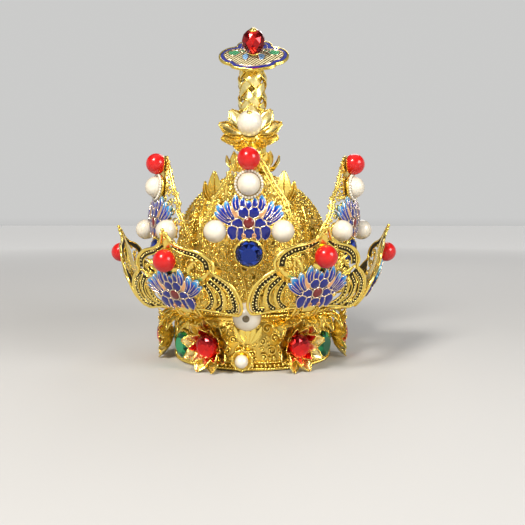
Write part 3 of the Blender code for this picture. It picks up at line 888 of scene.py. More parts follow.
def lower_petal(number, sheet):
    dice = np.random.default_rng(SEED + number)
    shape = Shape()
    outline = outline_of(PETAL_EDGE)
    sheet_wire(shape, sheet, outline, 0.55, "gold", 0.1, 7, step=0.9)
    inner = outline_of([(a, max(b - 1.2, 0.0)) for a, b in PETAL_EDGE])
    sheet_wire(shape, sheet, inner[4:-4], 0.2, "gold", 0.25, 5, step=0.9)
    blocked = [on_sheet(sheet, spaced(outline, 0.6))]
    for side in (1, -1):
        for line, width in PETAL_BANDS:
            line = np.array(line) * (1, side)
            beaded_band(shape, sheet, line, width, rows=2 if width > 2.4 else 1)
            path = spaced(smooth_line(line), 0.6)
            for shift in np.arange(-1, 1.1, 0.5) * width / 2:
                blocked.append(on_sheet(sheet, beside(path, shift)))
        for root, tip, width, bow in PETAL_LEAVES:
            root, tip = np.array(root) * (1, side), np.array(tip) * (1, side)
            middle = leaf_strip(shape, sheet, root, tip, width, bow * side)
            blocked.append(on_sheet(sheet, middle))
        for along, across, radius in PETAL_CURLS:
            curl(shape, sheet, (along, side * across, radius), "gold", dice, 0.3, off=0.1)
            turn = 2 * pi * np.arange(12) / 12
            for reach in (0.0, 0.5, 1.0):
                size = reach * radius
                loop = np.stack([along + size * np.cos(turn), side * across + size * np.sin(turn)], axis=1)
                blocked.append(on_sheet(sheet, loop))
    spine = ((11.0, 0), (16, 0), (25, 0), (36, 0), (40.5, 0))
    ribbon(shape, sheet, spine, (4.0, 9.0, 8.0, 4.4, 1.6), "gold", 0, 0.7)
    row = spaced([(11, 0), (40.5, 0)], 0.6)
    for share in np.linspace(-1, 1, 7):
        blocked.append(on_sheet(sheet, row + np.array((0, share * 4.4))))
    spots = grid_spots((0, -25), (44, 25), 0.45)
    ring = np.vstack([outline, [(13.4, -5.2), (0, -5), (0, 5), (13.4, 5.2)]])
    spots = spots[inside(ring, spots)]
    for row in packed_circles(sheet, spots, np.vstack(blocked), 1.9, 1.15, dice):
        curl(shape, sheet, row, "gold", dice, 0.25)
    for side in (1, -1):
        sheet_wire(shape, sheet, [(-0.8, side * 4.8), (6, side * 4.8), (13, side * 5.2)], 0.4, "gold", 0.1)
        leaf_strip(shape, sheet, (1.0, side * 1.0), (12.0, side * 3.6), 1.6, 0.8 * side)
    balls(shape, sheet.place([41.0, 42.5, 42.5, 44.0], [0, -1.1, 1.1, 0], 0.2), 0.72, "gold")
    shape.make(f"petal_filigree_{number}", f"lower_petal_{number}")


def upper_panel(number, sheet):
    dice = np.random.default_rng(SEED * 10 + number)
    shape = Shape()
    outline = outline_of(PANEL_EDGE)
    sheet_wire(shape, sheet, outline, 0.42, "gold", 0.0, 6, step=0.9)
    inner = outline_of([(a, max(b - 1.5, 0.0)) for a, b in PANEL_EDGE])
    sheet_wire(shape, sheet, inner[3:-3], 0.26, "gold", 0.1, 5, step=0.9)
    beads = spaced(outline_of([(a, max(b - 0.8, 0.0)) for a, b in PANEL_EDGE])[3:-3], 1.0)
    balls(shape, on_sheet(sheet, beads, 0.1), 0.32, "gold")
    blocked = [on_sheet(sheet, spaced(inner, 0.6))]
    for side in (1, -1):
        for reach in (2.0, 5.0):
            line = spaced([(0.5, side * 0.8), (20, side * reach * 2.0)], 1.0)
            sheet_wire(shape, sheet, line, 0.3, "gold", 0.1)
            blocked.append(on_sheet(sheet, line))
    ribbon(shape, sheet, ((40.5, 0), (47, 0), (53.5, 0)), (8.5, 7.0, 3.4), "gold", 0, 0.7)
    blocked.append(on_sheet(sheet, spaced([(41, 0), (54, 0)], 0.5)))
    spots = grid_spots((0, -20), (56, 20), 0.45)
    spots = spots[inside(outline, spots)]
    for row in packed_circles(sheet, spots, np.vstack(blocked), 2.2, 0.5, dice):
        curl(shape, sheet, row, "scroll_gold", dice, 0.3)
    stone = sheet_seat(sheet, PANEL_STONE_ALONG, 0.0, SHEET / 2 + GAP)
    stone_bezel(shape, stone, 4.9, 2.4)
    cut_stone(shape, stone, (4.9, 5.0, 4.2, 2.7), (-0.4, 1.0, 2.6, 3.5), 12, "navy", dice)
    for side in (-1, 1):
        cup = sheet_seat(sheet, PANEL_PEARLS[0], side * PANEL_PEARLS[1], SHEET / 2)
        turned(shape, ((0.0, -0.4), (2.8, -0.4), (3.2, 0.6), (2.2, 0.3), (0.0, 0.2)), "gold", 16, cup)
    shape.make(f"panel_filigree_{number}", f"upper_panel_{number}")


for number, sheet in enumerate(PETAL_SHEETS, 1):
    lower_petal(number, sheet)
for number, sheet in enumerate(PANEL_SHEETS, 1):
    upper_panel(number, sheet)

# Lotuses in cloisonne enamel: every cell's outline as across, up from the eye

EYE_RADIUS = 1.95
LOTUS_CELLS = (  # finish, tint at the low end, tint at the tip, outline
    ("blue", 0.0, 1.0,
     ((0.0, 4.3), (0.8, 5.0), (1.0, 6.2), (0.0, 7.4), (-1.0, 6.2), (-0.8, 5.0))),
    ("blue", 0.0, 0.4,
     ((0, -2.1), (1.2, -2.2), (1.7, -3.2), (1.3, -4.5), (0, -5.0), (-1.3, -4.5), (-1.7, -3.2), (-1.2, -2.2))),
)
LOTUS_PAIRS = (
    ("blue", 0.0, 0.3,
     ((0.25, 2.2), (0.15, 3.6), (0.7, 4.7), (1.7, 5.1), (3.0, 4.6), (3.5, 3.5), (3.0, 2.3), (1.7, 1.6))),
    ("blue", 0.0, 1.0,
     ((1.1, 5.4), (2.2, 5.2), (2.9, 6.0), (2.7, 7.4), (1.9, 8.4), (1.2, 7.2), (1.25, 6.2))),
    ("blue", 0.0, 1.0,
     ((3.0, 5.1), (3.7, 4.0), (4.6, 4.2), (5.5, 6.0), (5.3, 7.8), (4.2, 9.3), (3.4, 7.8), (3.3, 6.2))),
    ("rose_gold", 0, 0,
     ((3.6, 2.2), (4.4, 1.7), (5.5, 3.2), (6.1, 5.2), (5.6, 5.4), (4.8, 3.9), (3.9, 3.3))),
    ("blue", 0.0, 1.0,
     ((4.6, 1.4), (5.8, 1.2), (7.6, 3.4), (8.3, 5.4), (7.7, 7.1), (6.6, 6.2), (5.9, 3.8))),
    ("blue", 0.0, 1.0,
     ((5.9, 1.0), (7.0, 0.8), (9.2, 2.4), (10.6, 3.8), (10.9, 5.5), (9.4, 5.6), (8.3, 4.9), (7.7, 3.2))),
    ("blue", 0.0, 0.9,
     ((5.8, 0.5), (6.5, -0.6), (8.4, 0.1), (10.4, 1.4), (11.6, 3.0), (10.6, 3.5), (9.2, 2.2), (7.1, 0.7))),
    ("blue", 0.0, 0.3,
     ((1.9, -0.4), (2.5, 0.9), (3.9, 1.3), (5.3, 0.6), (5.7, -0.4), (4.4, -1.2), (3.0, -1.4), (2.2, -1.2))),
    ("blue", 0.0, 0.4,
     ((4.2, -1.5), (5.7, -0.9), (7.0, -1.9), (7.0, -3.7), (5.7, -5.5), (4.4, -4.8), (3.8, -3.2))),
    ("blue", 0.0, 0.4,
     ((2.0, -1.7), (3.2, -1.6), (3.9, -2.6), (4.0, -4.4), (3.1, -5.8), (2.2, -4.8), (1.9, -3.4))),
)
LOTUS_STRIPES = (  # pale lines along the fan petals
    ((5.4, 1.9), (6.9, 4.3), (7.4, 6.2)),
    ((6.7, 1.3), (8.6, 3.2), (10.0, 4.7)),
    ((6.7, 0.1), (8.8, 1.2), (10.8, 2.7)),
    ((4.0, 4.6), (4.5, 6.2), (4.3, 8.0)),
)
LOTUS_PLATE = (  # half of the gold plate behind the cells: up from the eye, across
    (-4.0, 0.0), (-4.3, 2.6), (-3.6, 5.0), (-1.4, 5.4), (-0.2, 6.6), (1.4, 8.6),
    (2.9, 9.2), (4.4, 6.2), (5.0, 4.8), (6.4, 3.4), (6.0, 1.8), (6.0, 0.0),
)
LOTUS_BASE = 1.05
CELL_GROWTH = 1.1
LOTUS_FACE = 1.85


def enamel_cell(shape, sheet, along, outline, finish, low, high):
    """A domed cell of enamel inside a thin metal wall."""
    outline = np.asarray(outline, float)
    ring = []
    for k in range(len(outline)):
        a, b, c, d = (outline[(k + i) % len(outline)] for i in (-1, 0, 1, 2))
        for t in (0.0, 0.5):
            ring.append(catmull(a, b, c, d, t))
    ring = np.array(ring)
    middle = ring.mean(axis=0)
    ring = middle + (ring - middle) * CELL_GROWTH
    reach = np.linalg.norm(ring, axis=1)
    span = max(np.ptp(reach), 1e-6)
    rows = ((1.0, LOTUS_BASE), (1.0, LOTUS_FACE), (0.86, LOTUS_FACE + 0.16), (0.4, LOTUS_FACE + 0.3))
    verts, tints = [], []
    for share, off in rows:
        flat = middle + share * (ring - middle)
        verts.append(sheet.place(along + flat[:, 1], flat[:, 0], off))
        share_out = np.clip((np.linalg.norm(flat, axis=1) - reach.min()) / span, 0, 1)
        tints.append(low + (high - low) * share_out)
    verts.append(sheet.place([along + middle[1]], [middle[0]], LOTUS_FACE + 0.4))
    tints.append([low + (high - low) * 0.4])
    count = len(ring)
    faces = []
    for k in range(len(rows) - 1):
        faces += ring_faces(k * count, (k + 1) * count, count)
    top = len(rows) * count
    last = top - count
    faces += [(last + i, last + (i + 1) % count, top) for i in range(count)]
    faces.append(tuple(range(count))[::-1])
    shape.add(np.vstack(verts), faces, finish, tint=np.concatenate(tints))
    wall_line = np.stack([along + ring[:, 1], ring[:, 0]], axis=1)
    tube(shape, on_sheet(sheet, wall_line, LOTUS_FACE + 0.12), 0.14, "pale_wire", 5, closed=True)


def lotus(name, node_name, sheet, along):
    shape = Shape()
    for finish, low, high, outline in LOTUS_CELLS:
        enamel_cell(shape, sheet, along, outline, finish, low, high)
    for finish, low, high, outline in LOTUS_PAIRS:
        enamel_cell(shape, sheet, along, outline, finish, low, high)
        enamel_cell(shape, sheet, along, [(-x, y) for x, y in reversed(outline)], finish, low, high)
    for stripe in LOTUS_STRIPES:
        for side in (1, -1):
            line = spaced(smooth_line([(along + y, side * x) for x, y in stripe]), 0.7)
            tube(shape, on_sheet(sheet, line, LOTUS_FACE + 0.34), 0.11, "pale_wire", 4)
    for side in (1, -1):
        turn = 2 * pi * np.arange(10) / 10
        loop = np.stack([along - 4.2 + 0.6 * np.cos(turn), side * 1.75 + 0.6 * np.sin(turn)], axis=1)
        tube(shape, on_sheet(sheet, loop, LOTUS_FACE + 0.3), 0.2, "rose_gold", 5, closed=True)
    seat = sheet_seat(sheet, along, 0, LOTUS_BASE)
    rim = EYE_RADIUS + 0.05
    eye = ((rim, 0), (rim, 0.9), (1.5, 1.35), (0.7, 1.55), (0.05, 1.6), (0.0, 1.6))
    turned(shape, eye, "oxblood", 24, seat)
    tube(shape, seat.put(ring_points(EYE_RADIUS + 0.1, 1.0, 28)), 0.2, "pale_wire", 5, closed=True)
    plate = np.array(LOTUS_PLATE)
    whole = np.vstack([plate, mirrored(plate[1:-1])[::-1]])
    low, high = LOTUS_BASE - 0.05, LOTUS_BASE + 0.45
    lows = sheet.place(along + whole[:, 0], whole[:, 1], low)
    highs = sheet.place(along + whole[:, 0], whole[:, 1], high)
    size = len(whole)
    faces = ring_faces(0, size, size)
    middle = sheet.place([along, along], [0, 0], [low, high])
    faces += [((i + 1) % size, i, 2 * size) for i in range(size)]
    faces += [(size + i, size + (i + 1) % size, 2 * size + 1) for i in range(size)]
    shape.add(np.vstack([lows, highs, middle]), faces, "gold", smooth=False)
    shape.make(name, node_name)


for number, sheet in enumerate(PETAL_SHEETS, 1):
    lotus(f"lotus_low_{number}", f"lower_lotus_{number}", sheet, PETAL_LOTUS_ALONG)
for number, sheet in enumerate(PANEL_SHEETS, 1):
    lotus(f"lotus_high_{number}", f"upper_lotus_{number}", sheet, PANEL_LOTUS_ALONG)

# Beads and pearls

CORAL = 4.0
PEARL = 4.0
DROP_PEARL = 5.2
HEM_PEARL = 2.5
FINIAL_PEARL = 5.0
PEARL_RING = 4.65
FINIAL_TILT = 54.0
FINIAL_CENTRE = np.array((0.0, -10.9, 88.9))
FINIAL_AXIS = np.array((0.0, -sin(radians(FINIAL_TILT)), cos(radians(FINIAL_TILT))))
UPRIGHT = Seat((0, 0, 0), (0, 0, 1), (0, 1, 0))


def polar(radius, azimuth, height):
    turn = radians(azimuth)
    return np.array((radius * sin(turn), -radius * cos(turn), height))


def outward(azimuth):
    return polar(1.0, azimuth, 0.0)


def bead(shape, seat, radius):
    """A smooth pearl with a gold cup behind it."""
    balls(shape, [seat.at], radius, "pearl", SMOOTH_BALL)
    foot = -radius
    cup = (
        (0.0, foot - 0.2),
        (radius * 0.55, foot - 0.2),
        (radius * 0.75, foot + 0.7),
        (radius * 0.6, foot + 0.6),
        (0.0, foot + 0.1),
    )
    turned(shape, cup, "gold", 16, seat)


def flat_backed(shape, seat, radius, centre, finish):
    """A ball whose centre is above the seat and whose back is cut off at the seat."""
    ball, faces = SMOOTH_BALL
    verts = ball * radius + (0.0, 0.0, centre)
    verts[:, 2] = np.maximum(verts[:, 2], 0.0)
    shape.add(seat.put(verts), faces, finish)


def bead_on(name, node_name, sheet, along, across, radius, finish):
    """A flat-backed bead in a thin gold cup."""
    shape = Shape()
    seat = sheet_seat(sheet, along, across, SHEET / 2 + BEAD_CLEAR)
    flat_backed(shape, seat, radius, BEAD_BACK * radius, finish)
    cup = ((0.0, -0.5), (2.6, -0.5), (3.6, 0.1), (3.5, 0.5), (0.0, 0.3))
    turned(shape, cup, "gold", 20, seat)
    shape.make(name, node_name)


def crest_pearl(number, sheet):
    """The pearl in a ring of small ones, under an upper panel's bead."""
    shape = Shape()
    seat = sheet_seat(sheet, PANEL_CREST_ALONG, 0, SHEET / 2 + GAP)
    cup = ((0, 0), (4.4, 0), (5.1, 0.7), (5.1, 1.1), (4.5, 1.2), (3.9, 1.2), (0, 1.2))
    turned(shape, cup, "gold", 32, seat)
    balls(shape, seat.put(ring_points(PEARL_RING, 1.7, 28)), 0.55, "pearl", ball_template(8, 12))
    flat_backed(shape, seat, PEARL, BEAD_BACK * PEARL, "pearl")
    shape.make(f"crest_pearl_{number}", f"upper_crest_pearl_{number}")


def drop_pearl():
    shape = Shape()
    seat = Seat(polar(BAND_RADIUS + GAP + DROP_PEARL, 0, DROP_PEARL_HEIGHT), outward(0))
    bead(shape, seat, DROP_PEARL)
    # The drill hole is a flat dark disc, painted shade, not a cut hole.
    turned(shape, ((0, 5.0), (1.3, 5.0), (1.25, 5.08), (0, 5.25)), "drill_hole_shade", 20, seat)
    shape.make("drop_pearl_smooth", "drop_pearl")


for number, sheet in enumerate(PETAL_SHEETS, 1):
    bead_on(f"coral_low_{number}", f"lower_bead_{number}", sheet, PETAL_BEAD_ALONG, 0, CORAL, "coral")
for number, sheet in enumerate(PANEL_SHEETS, 1):
    bead_on(f"coral_high_{number}", f"upper_bead_{number}", sheet, PANEL_BEAD_ALONG, 0, CORAL, "coral")
    for k, side in enumerate((1, -1), 1):
        along, across = PANEL_PEARLS[0], side * PANEL_PEARLS[1]
        names = f"pearl_side_{number}_{k}", f"upper_side_pearl_{number}_{k}"
        bead_on(*names, sheet, along, across, PEARL, "pearl")
    crest_pearl(number, sheet)
drop_pearl()

# Hem band

BAND_WALL = (  # radius inside the band's, height
    (0.6, 0.6),
    (0.6, BAND_HEIGHT - 0.6),
    (1.5, BAND_HEIGHT - 0.6),
    (1.5, 0.6),
    (0.6, 0.6),
)
BAND_ROPES = (  # height, radius of the rope
    (0.86, 0.75),
    (3.4, 0.4),
    (BAND_HEIGHT - 0.7, 0.7),
    (BAND_HEIGHT - 2.6, 0.4),
)
HEM_GRAINS = 120
FAN_TOP = 19.0
FAN_FOOT_FRONT = 10.5
FAN_FOOT_STONE = 14.2
HEM_CUP = ((0, 0), (3.2, 0), (4.2, 2.0), (3.6, 2.2), (2.6, 1.0), (0, 0.8))
COLLAR_LEAVES = 30
COLLAR_LINE = ((32.0, 19.0), (34.6, 18.9), (37.6, 17.2), (39.6, 14.0))  # out from the axis, height


def band_fans(shape, band):
    """A fan of leaves at the front and over each green stone, as the lines that they take up."""
    lines = []
    for azimuth in (0, *GREEN_AZIMUTHS):
        middle = radians(azimuth) * BAND_RADIUS
        foot, spread = (FAN_FOOT_STONE, 1.7) if azimuth else (FAN_FOOT_FRONT, 2.6)
        for lean in (-2, -1, 0, 1, 2):
            root = (foot, middle + 0.5 * lean)
            tip = (FAN_TOP - 0.8 * abs(lean), middle + spread * lean)
            lines.append(on_sheet(band, leaf_strip(shape, band, root, tip, 1.9, 0.3 * lean)))
    return lines


def collar_leaves(shape):
    """The leaves that hang over the band's top edge, left out over each flower and the front."""
    flowers = np.array(FLOWER_AZIMUTHS)
    for k in range(COLLAR_LEAVES):
        azimuth = 360 * (k + 0.5) / COLLAR_LEAVES
        from_flower = np.min(np.abs((flowers - azimuth + 180) % 360 - 180))
        from_front = abs((azimuth + 180) % 360 - 180)
        if from_flower > 8.0 and from_front > 9.0:
            boat_leaf(shape, UPRIGHT, azimuth, COLLAR_LINE, (1.8, 3.0, 2.6, 0.4))


def hem_band():
    dice = np.random.default_rng(SEED * 3)
    shape = Shape()
    turned(shape, [(BAND_RADIUS - depth, height) for depth, height in BAND_WALL], "net_gold", 72)
    band = RoundWall(((BAND_RADIUS, 0.0), (BAND_RADIUS, 11.0), (BAND_RADIUS, BAND_HEIGHT)), BAND_RADIUS)
    for height, radius in BAND_ROPES:
        rope(shape, ring_points(BAND_RADIUS - 0.75, height), radius, 2.2)
    grains = [polar(BAND_RADIUS - 0.5, 360 / HEM_GRAINS * k, 2.1) for k in range(HEM_GRAINS)]
    balls(shape, grains, 0.62, "gold", ball_template(6, 8))
    spots = grid_spots((4.2, 0.0), (BAND_HEIGHT - 3.2, 2 * pi * BAND_RADIUS), 0.6)
    blocked = [ring_points(BAND_RADIUS, height, 300) for height in (3.8, BAND_HEIGHT - 2.9)]
    for a in GREEN_AZIMUTHS:
        blocked.append([polar(BAND_RADIUS, a + d, GREEN_HEIGHT + h) for d in (-7, 0, 7) for h in (-4, 0, 4)])
    blocked += band_fans(shape, band)
    for row in packed_circles(band, spots, np.vstack(blocked), 2.4, 0.55, dice):
        curl(shape, band, row, "gold", dice, 0.34, off=-0.2)
    for azimuth in GREEN_AZIMUTHS:
        seat = Seat(polar(BAND_RADIUS - 0.5, azimuth, GREEN_HEIGHT), outward(azimuth))
        stone_bezel(shape, seat, 5.3, 2.2)
        cut_stone(shape, seat, (5.3, 5.5, 4.7, 3.0), (-0.4, 1.2, 2.5, 3.2), 12, "emerald", dice)
    azimuth, height = HEM_PEARL_PLACE
    seat = Seat(polar(BAND_RADIUS - 0.6, azimuth, height), outward(azimuth))
    turned(shape, HEM_CUP, "gold", 24, seat)
    balls(shape, seat.put(ring_points(3.9, 2.1, 10)), 0.6, "gold")
    collar_leaves(shape)
    shape.make("band_filigree", "base_band")


def hem_pearl():
    shape = Shape()
    azimuth, height = HEM_PEARL_PLACE
    reach = BAND_RADIUS + 0.2 + GAP + HEM_PEARL
    bead(shape, Seat(polar(reach, azimuth, height), outward(azimuth)), HEM_PEARL)
    shape.make("hem_pearl_smooth", "hem_pearl")


hem_band()
hem_pearl()

# Flowers

BASE_LEAF = ((2.6, 0.8), (5.2, 2.0), (7.8, 4.0), (10.0, 6.2))  # radius, height
BASE_INNER_LEAF = ((2.4, 1.8), (4.6, 3.6), (6.9, 6.2))
BASE_CUP = ((0, 0.1), (2.2, 0.1), (4.3, 3.4), (4.1, 3.8), (0, 3.6))
RUBY_LEVELS = ((4.2, 3.4), (4.4, 4.7), (4.1, 5.6), (3.4, 6.3), (2.4, 6.8), (1.2, 7.0))
FINIAL_LEAF = ((3.2, 0.7), (6.7, 1.2), (10.1, 3.0), (12.6, 5.3))
FINIAL_CUP = ((0, -1.0), (2.4, -0.6), (3.4, 1.0), (3.4, 2.4), (2.6, 2.4), (0, 2.0))
FINIAL_CAP = ((0.0, 4.7), (1.1, 4.75), (1.0, 5.1), (0.5, 5.35), (0.0, 5.4))
FLOWER_LEAVES = 9


def leaf_ring(shape, seat, line, swell):
    """A flower's ring of folded leaves."""
    # The leaves take the lighter gold, a painted highlight.
    widths = (0.5 * swell, swell, 0.95 * swell, 0.15 * swell)
    for index in range(FLOWER_LEAVES):
        boat_leaf(shape, seat, 20 + 360 * index / FLOWER_LEAVES, line, widths, "highlight_pale_gold")


def base_flower(number, azimuth):
    dice = np.random.default_rng(SEED * 20 + number)
    shape = Shape()
    seat = Seat(polar(BAND_RADIUS + GAP, azimuth, FLOWER_HEIGHT), outward(azimuth))
    leaf_ring(shape, seat, BASE_LEAF, 2.5)
    for index in range(FLOWER_LEAVES):
        # Every other inner leaf takes the red-tinted gold, a painted reflection of the red stone.
        finish = "ruby_reflection_gold" if index % 2 else "highlight_pale_gold"
        boat_leaf(shape, seat, 40.0 * index, BASE_INNER_LEAF, (1.1, 2.0, 0.3), finish)
    turned(shape, BASE_CUP, "gold", 20, seat)
    radii, heights = zip(*RUBY_LEVELS)
    # Painted light: the ruby's facets are brighter towards its lower side.
    cut_stone(shape, seat, radii, heights, 11, "ruby", dice, lambda x, y: np.clip(0.55 - 0.75 * y, 0, 1))
    shape.make(f"flower_{number}", f"base_flower_{number}")


def finial():
    """The gold flower on its short arm, and the big pearl in it."""
    shape = Shape()
    seat = Seat(FINIAL_CENTRE, FINIAL_AXIS, (0, 1, 0))
    leaf_ring(shape, seat, FINIAL_LEAF, 3.3)
    turned(shape, FINIAL_CUP, "gold", 24, seat)
    back = FINIAL_CENTRE - FINIAL_AXIS * 0.5
    tube(shape, [back, back + (0, 2.6, -0.4), (0, -5.2, 88.4)], 1.5, "gold", 10)
    shape.make("finial_flower_leaves", "finial_flower")
    shape = Shape()
    seat = Seat(FINIAL_CENTRE + FINIAL_AXIS * (2.4 + GAP + FINIAL_PEARL), (0, -0.68, 0.73), (0, 1, 0))
    bead(shape, seat, FINIAL_PEARL)
    turned(shape, FINIAL_CAP, "gold", 14, seat)
    shape.make("finial_pearl_smooth", "finial_pearl")


for number, azimuth in enumerate(FLOWER_AZIMUTHS, 1):
    base_flower(number, azimuth)
finial()

# Bell

BELL = RoundWall([(r - 0.4, z) for r, z in BELL_LINE], BAND_RADIUS)
BELL_LENGTH = BELL.runs[-1]
BELL_ARCHES = 6
ARCH_HALF = ((0.0, 1.0), (12.0, 1.06), (24.0, 0.98), (36.0, 0.72), (46.0, 0.42), (54.0, 0.16), (60.0, 0.0))
ARCH_WIRES = (  # half spread in degrees, wire radius, granules along it
    (27.5, 0.4, True),
    (24.0, 0.28, False),
    (14.0, 0.4, True),
    (11.0, 0.28, False),
)
SPOT_STEP = 0.6
SHEET_ROWS = 54
SHEET_COLUMNS = 168
SHEET_THICK = 0.35
SHOULDER_AZIMUTHS = (30, -30, 150, -150)
SHOULDER_LINE = ((24.6, 62.4), (26.4, 68.0), (26.0, 77.0))  # out from the axis, height
SHOULDER_LEAVES = (  # root, tip, width, bow, sides
    ((0.0, 0.0), (12.6, 0.0), 6.4, 0.0, (1,)),
    ((0.0, 1.8), (9.0, 4.6), 3.8, 0.9, (1, -1)),
)


def bell_radius(along):
    return float(np.interp(along, BELL.runs, BELL.points[:, 0]))


def arch(azimuth, spread):
    """One pointed arch of the bell's net, as two lines of along and across."""
    line = smooth_line(ARCH_HALF, 5)
    side = radians(spread) * BAND_RADIUS
    middle = radians(azimuth) * BAND_RADIUS
    return [np.stack([line[:, 0], middle + k * side * line[:, 1]], axis=1) for k in (-1, 1)]


def perforated(shape, holes, finish):
    """A sheet along the bell's wall with a hole at the eye of each large scroll."""
    rows, columns = SHEET_ROWS, SHEET_COLUMNS
    alongs = np.linspace(0.3, BELL_LENGTH - 0.3, rows + 1)
    turns = np.arange(columns) / columns * 2 * pi * BAND_RADIUS
    spots = np.stack(np.meshgrid(alongs, turns, indexing="ij"), axis=-1).reshape(-1, 2)
    middle_along = 0.5 * (alongs[:-1] + alongs[1:])
    middle_turn = turns + pi * BAND_RADIUS / columns
    middles = BELL.place(*np.meshgrid(middle_along, middle_turn, indexing="ij"))
    open_cells = np.zeros((rows, columns), bool)
    for along, across, radius in holes:
        at = BELL.place([along], [across])[0]
        open_cells |= np.linalg.norm(middles - at, axis=-1) < 0.62 * radius
    verts = np.vstack([BELL.place(spots[:, 0], spots[:, 1], off) for off in (-SHEET_THICK, 0.0)])
    low = (rows + 1) * columns
    faces = []
    for r in range(rows):
        for c in range(columns):
            if open_cells[r, c]:
                continue
            d = (c + 1) % columns
            ring = (r * columns + c, r * columns + d, (r + 1) * columns + d, (r + 1) * columns + c)
            faces.append(tuple(low + i for i in ring))
            faces.append(ring[::-1])
            beyond = ((r - 1, c), (r, d), (r + 1, c), (r, (c - 1) % columns))
            for k, (br, bc) in enumerate(beyond):
                if br < 0 or br >= rows or open_cells[br, bc]:
                    a, b = ring[k], ring[(k + 1) % 4]
                    faces.append((a, b, low + b, low + a))
    shape.add(verts, faces, finish, smooth=False)


def bell_ribs():
    """The bell's arches and ropes, and the points that they take up."""
    shape = Shape()
    blocked = []
    for k in range(BELL_ARCHES):
        for spread, wire, grains in ARCH_WIRES:
            for line in arch(360 / BELL_ARCHES * k, spread):
                line = spaced(line, 0.9)
                tube(shape, on_sheet(BELL, line, 0.1), wire, "gold", 5)
                blocked.append(on_sheet(BELL, line))
                if grains:
                    balls(shape, on_sheet(BELL, spaced(line, 1.5), 0.5), 0.42, "gold")
    for along in (0.6, BELL_LENGTH * 0.5, BELL_LENGTH - 0.8):
        at = BELL.place([along], [0.0])[0]
        rope(shape, ring_points(hypot(at[0], at[1]), at[2]), 0.5, 2.0)
        blocked.append(ring_points(hypot(at[0], at[1]), at[2], 240))
    return shape, np.vstack(blocked)


def shoulder_leaves(shape):
    """Four clusters of upright leaves on the bell's shoulders."""
    for azimuth in SHOULDER_AZIMUTHS:
        crest = BentSheet(SHOULDER_LINE, 30.0, azimuth)
        for (foot, root), (top, tip), width, bow, sides in SHOULDER_LEAVES:
            for side in sides:
                ends = (foot, side * root), (top, side * tip)
                middle = leaf_strip(shape, crest, *ends, width, side * bow, 0.0)
                sheet_wire(shape, crest, middle, 0.22, "gold", 0.4, 5)


def bell():
    dice = np.random.default_rng(SEED * 5)
    ribs, blocked = bell_ribs()
    spots = []
    for along in np.arange(1.2, BELL_LENGTH - 1.0, SPOT_STEP):
        count = int(2 * pi * bell_radius(along) / SPOT_STEP)
        spots += [(along, BAND_RADIUS * 2 * pi * k / count) for k in range(count)]
    circles = packed_circles(BELL, np.array(spots), blocked, 3.0, 0.75, dice)
    scrolls = Shape()
    for row in circles:
        stretch = BAND_RADIUS / max(bell_radius(row[0]), 4.0)
        curl(scrolls, BELL, row, "scroll_gold", dice, 0.34, stretch, off=0.1)
    scrolls.make("bell_scrolls")
    pierced = Shape()
    perforated(pierced, [row for row in circles if row[2] > 1.1], "net_gold")
    pierced.make("bell_sheet")
    shoulder_leaves(ribs)
    ribs.make("bell_filigree", "dome")


bell()

# Neck and plait

STEM_LINE = (  # radius, height
    (5.0, 75.3),
    (7.4, 77.0),
    (6.8, 79.0),
    (6.0, 82.0),
    (5.6, 88.0),
    (5.2, 94.0),
    (5.2, 99.4),
    (5.0, 100.2),
)
STEM_ROPES = ((77.0, 7.3), (83.0, 5.8), (95.6, 5.1), (99.2, 5.1))  # height, radius
CALYX_LINE = ((5.0, 77.4), (8.6, 77.0), (10.8, 79.4), (11.6, 83.0))
CALYX_INNER_LINE = ((6.0, 78.0), (7.4, 79.0), (8.2, 81.4), (7.8, 84.2))
CALYX_LEAVES = 5
PLAIT_FOOT = 100.5
PLAIT_TOP = 117.0
PLAIT_RADIUS = 5.0
PLAIT_STRANDS = 4
PLAIT_RIBBON = 1.5  # half width
POST_RADIUS = 1.2  # of the post from the plait's top to the cloud plate
PLAIT_CAP = ((0.0, -1.4), (4.9, -1.4), (5.1, -0.8), (4.6, -0.2), (0.0, -0.2))  # radius, height from the top


def neck():
    shape = Shape()
    turned(shape, [(0.0, 75.3)] + smooth_line(STEM_LINE, 5).tolist() + [(0.0, 100.2)], "gold", 36)
    for height, radius in STEM_ROPES:
        rope(shape, ring_points(radius, height, 48), 0.55, 1.6)
    for k in range(CALYX_LEAVES):
        boat_leaf(shape, UPRIGHT, 360 * (k + 0.5) / CALYX_LEAVES, CALYX_LINE, (1.8, 3.3, 2.9, 0.4))
        boat_leaf(shape, UPRIGHT, 360 * k / CALYX_LEAVES, CALYX_INNER_LINE, (1.6, 2.9, 2.5, 0.4))
    shape.make("neck_and_calyx", "stem")


def plait_radius(share):
    return 4.85 + 0.55 * np.sin(2 * pi * share) ** 2


def plait_ribbon(shape, hand, first):
    """One ribbon that winds half a turn up the tube, over and under the others."""
    share = np.linspace(0, 1, 49)
    height = PLAIT_FOOT + 0.4 + (PLAIT_TOP - PLAIT_FOOT - 0.8) * share
    angle = first + hand * pi * share
    weave = 0.3 * hand * np.cos(pi * PLAIT_STRANDS * share)
    rise = height[-1] - height[0]
    run = pi * PLAIT_RADIUS
    size = hypot(rise, run)
    across = np.array((-1.0, -0.75, -0.25, 0.25, 0.75, 1.0)) * PLAIT_RIBBON
    rows = []
    for lift in (0.22, -0.22):
        for u in across:
            at = np.clip(height + u * run / size * hand, PLAIT_FOOT + 0.2, PLAIT_TOP - 0.2)
            turn = angle - u * rise / size / PLAIT_RADIUS
            rows.append(around(plait_radius((at - height[0]) / rise) + weave + lift, turn, at))
    count, cols = len(share), len(across)
    order = list(range(cols)) + list(range(2 * cols - 1, cols - 1, -1))
    faces = []
    for i, j in zip(order, order[1:] + order[:1]):
        for k in range(count - 1):
            faces.append((i * count + k, i * count + k + 1, j * count + k + 1, j * count + k))
    faces.append(tuple(i * count for i in order))
    faces.append(tuple(i * count + count - 1 for i in reversed(order)))
    shape.add(np.vstack(rows), faces, "highlight_pale_gold")
    for edge in (0, cols - 1):
        tube(shape, rows[edge], 0.26, "gold", 6)


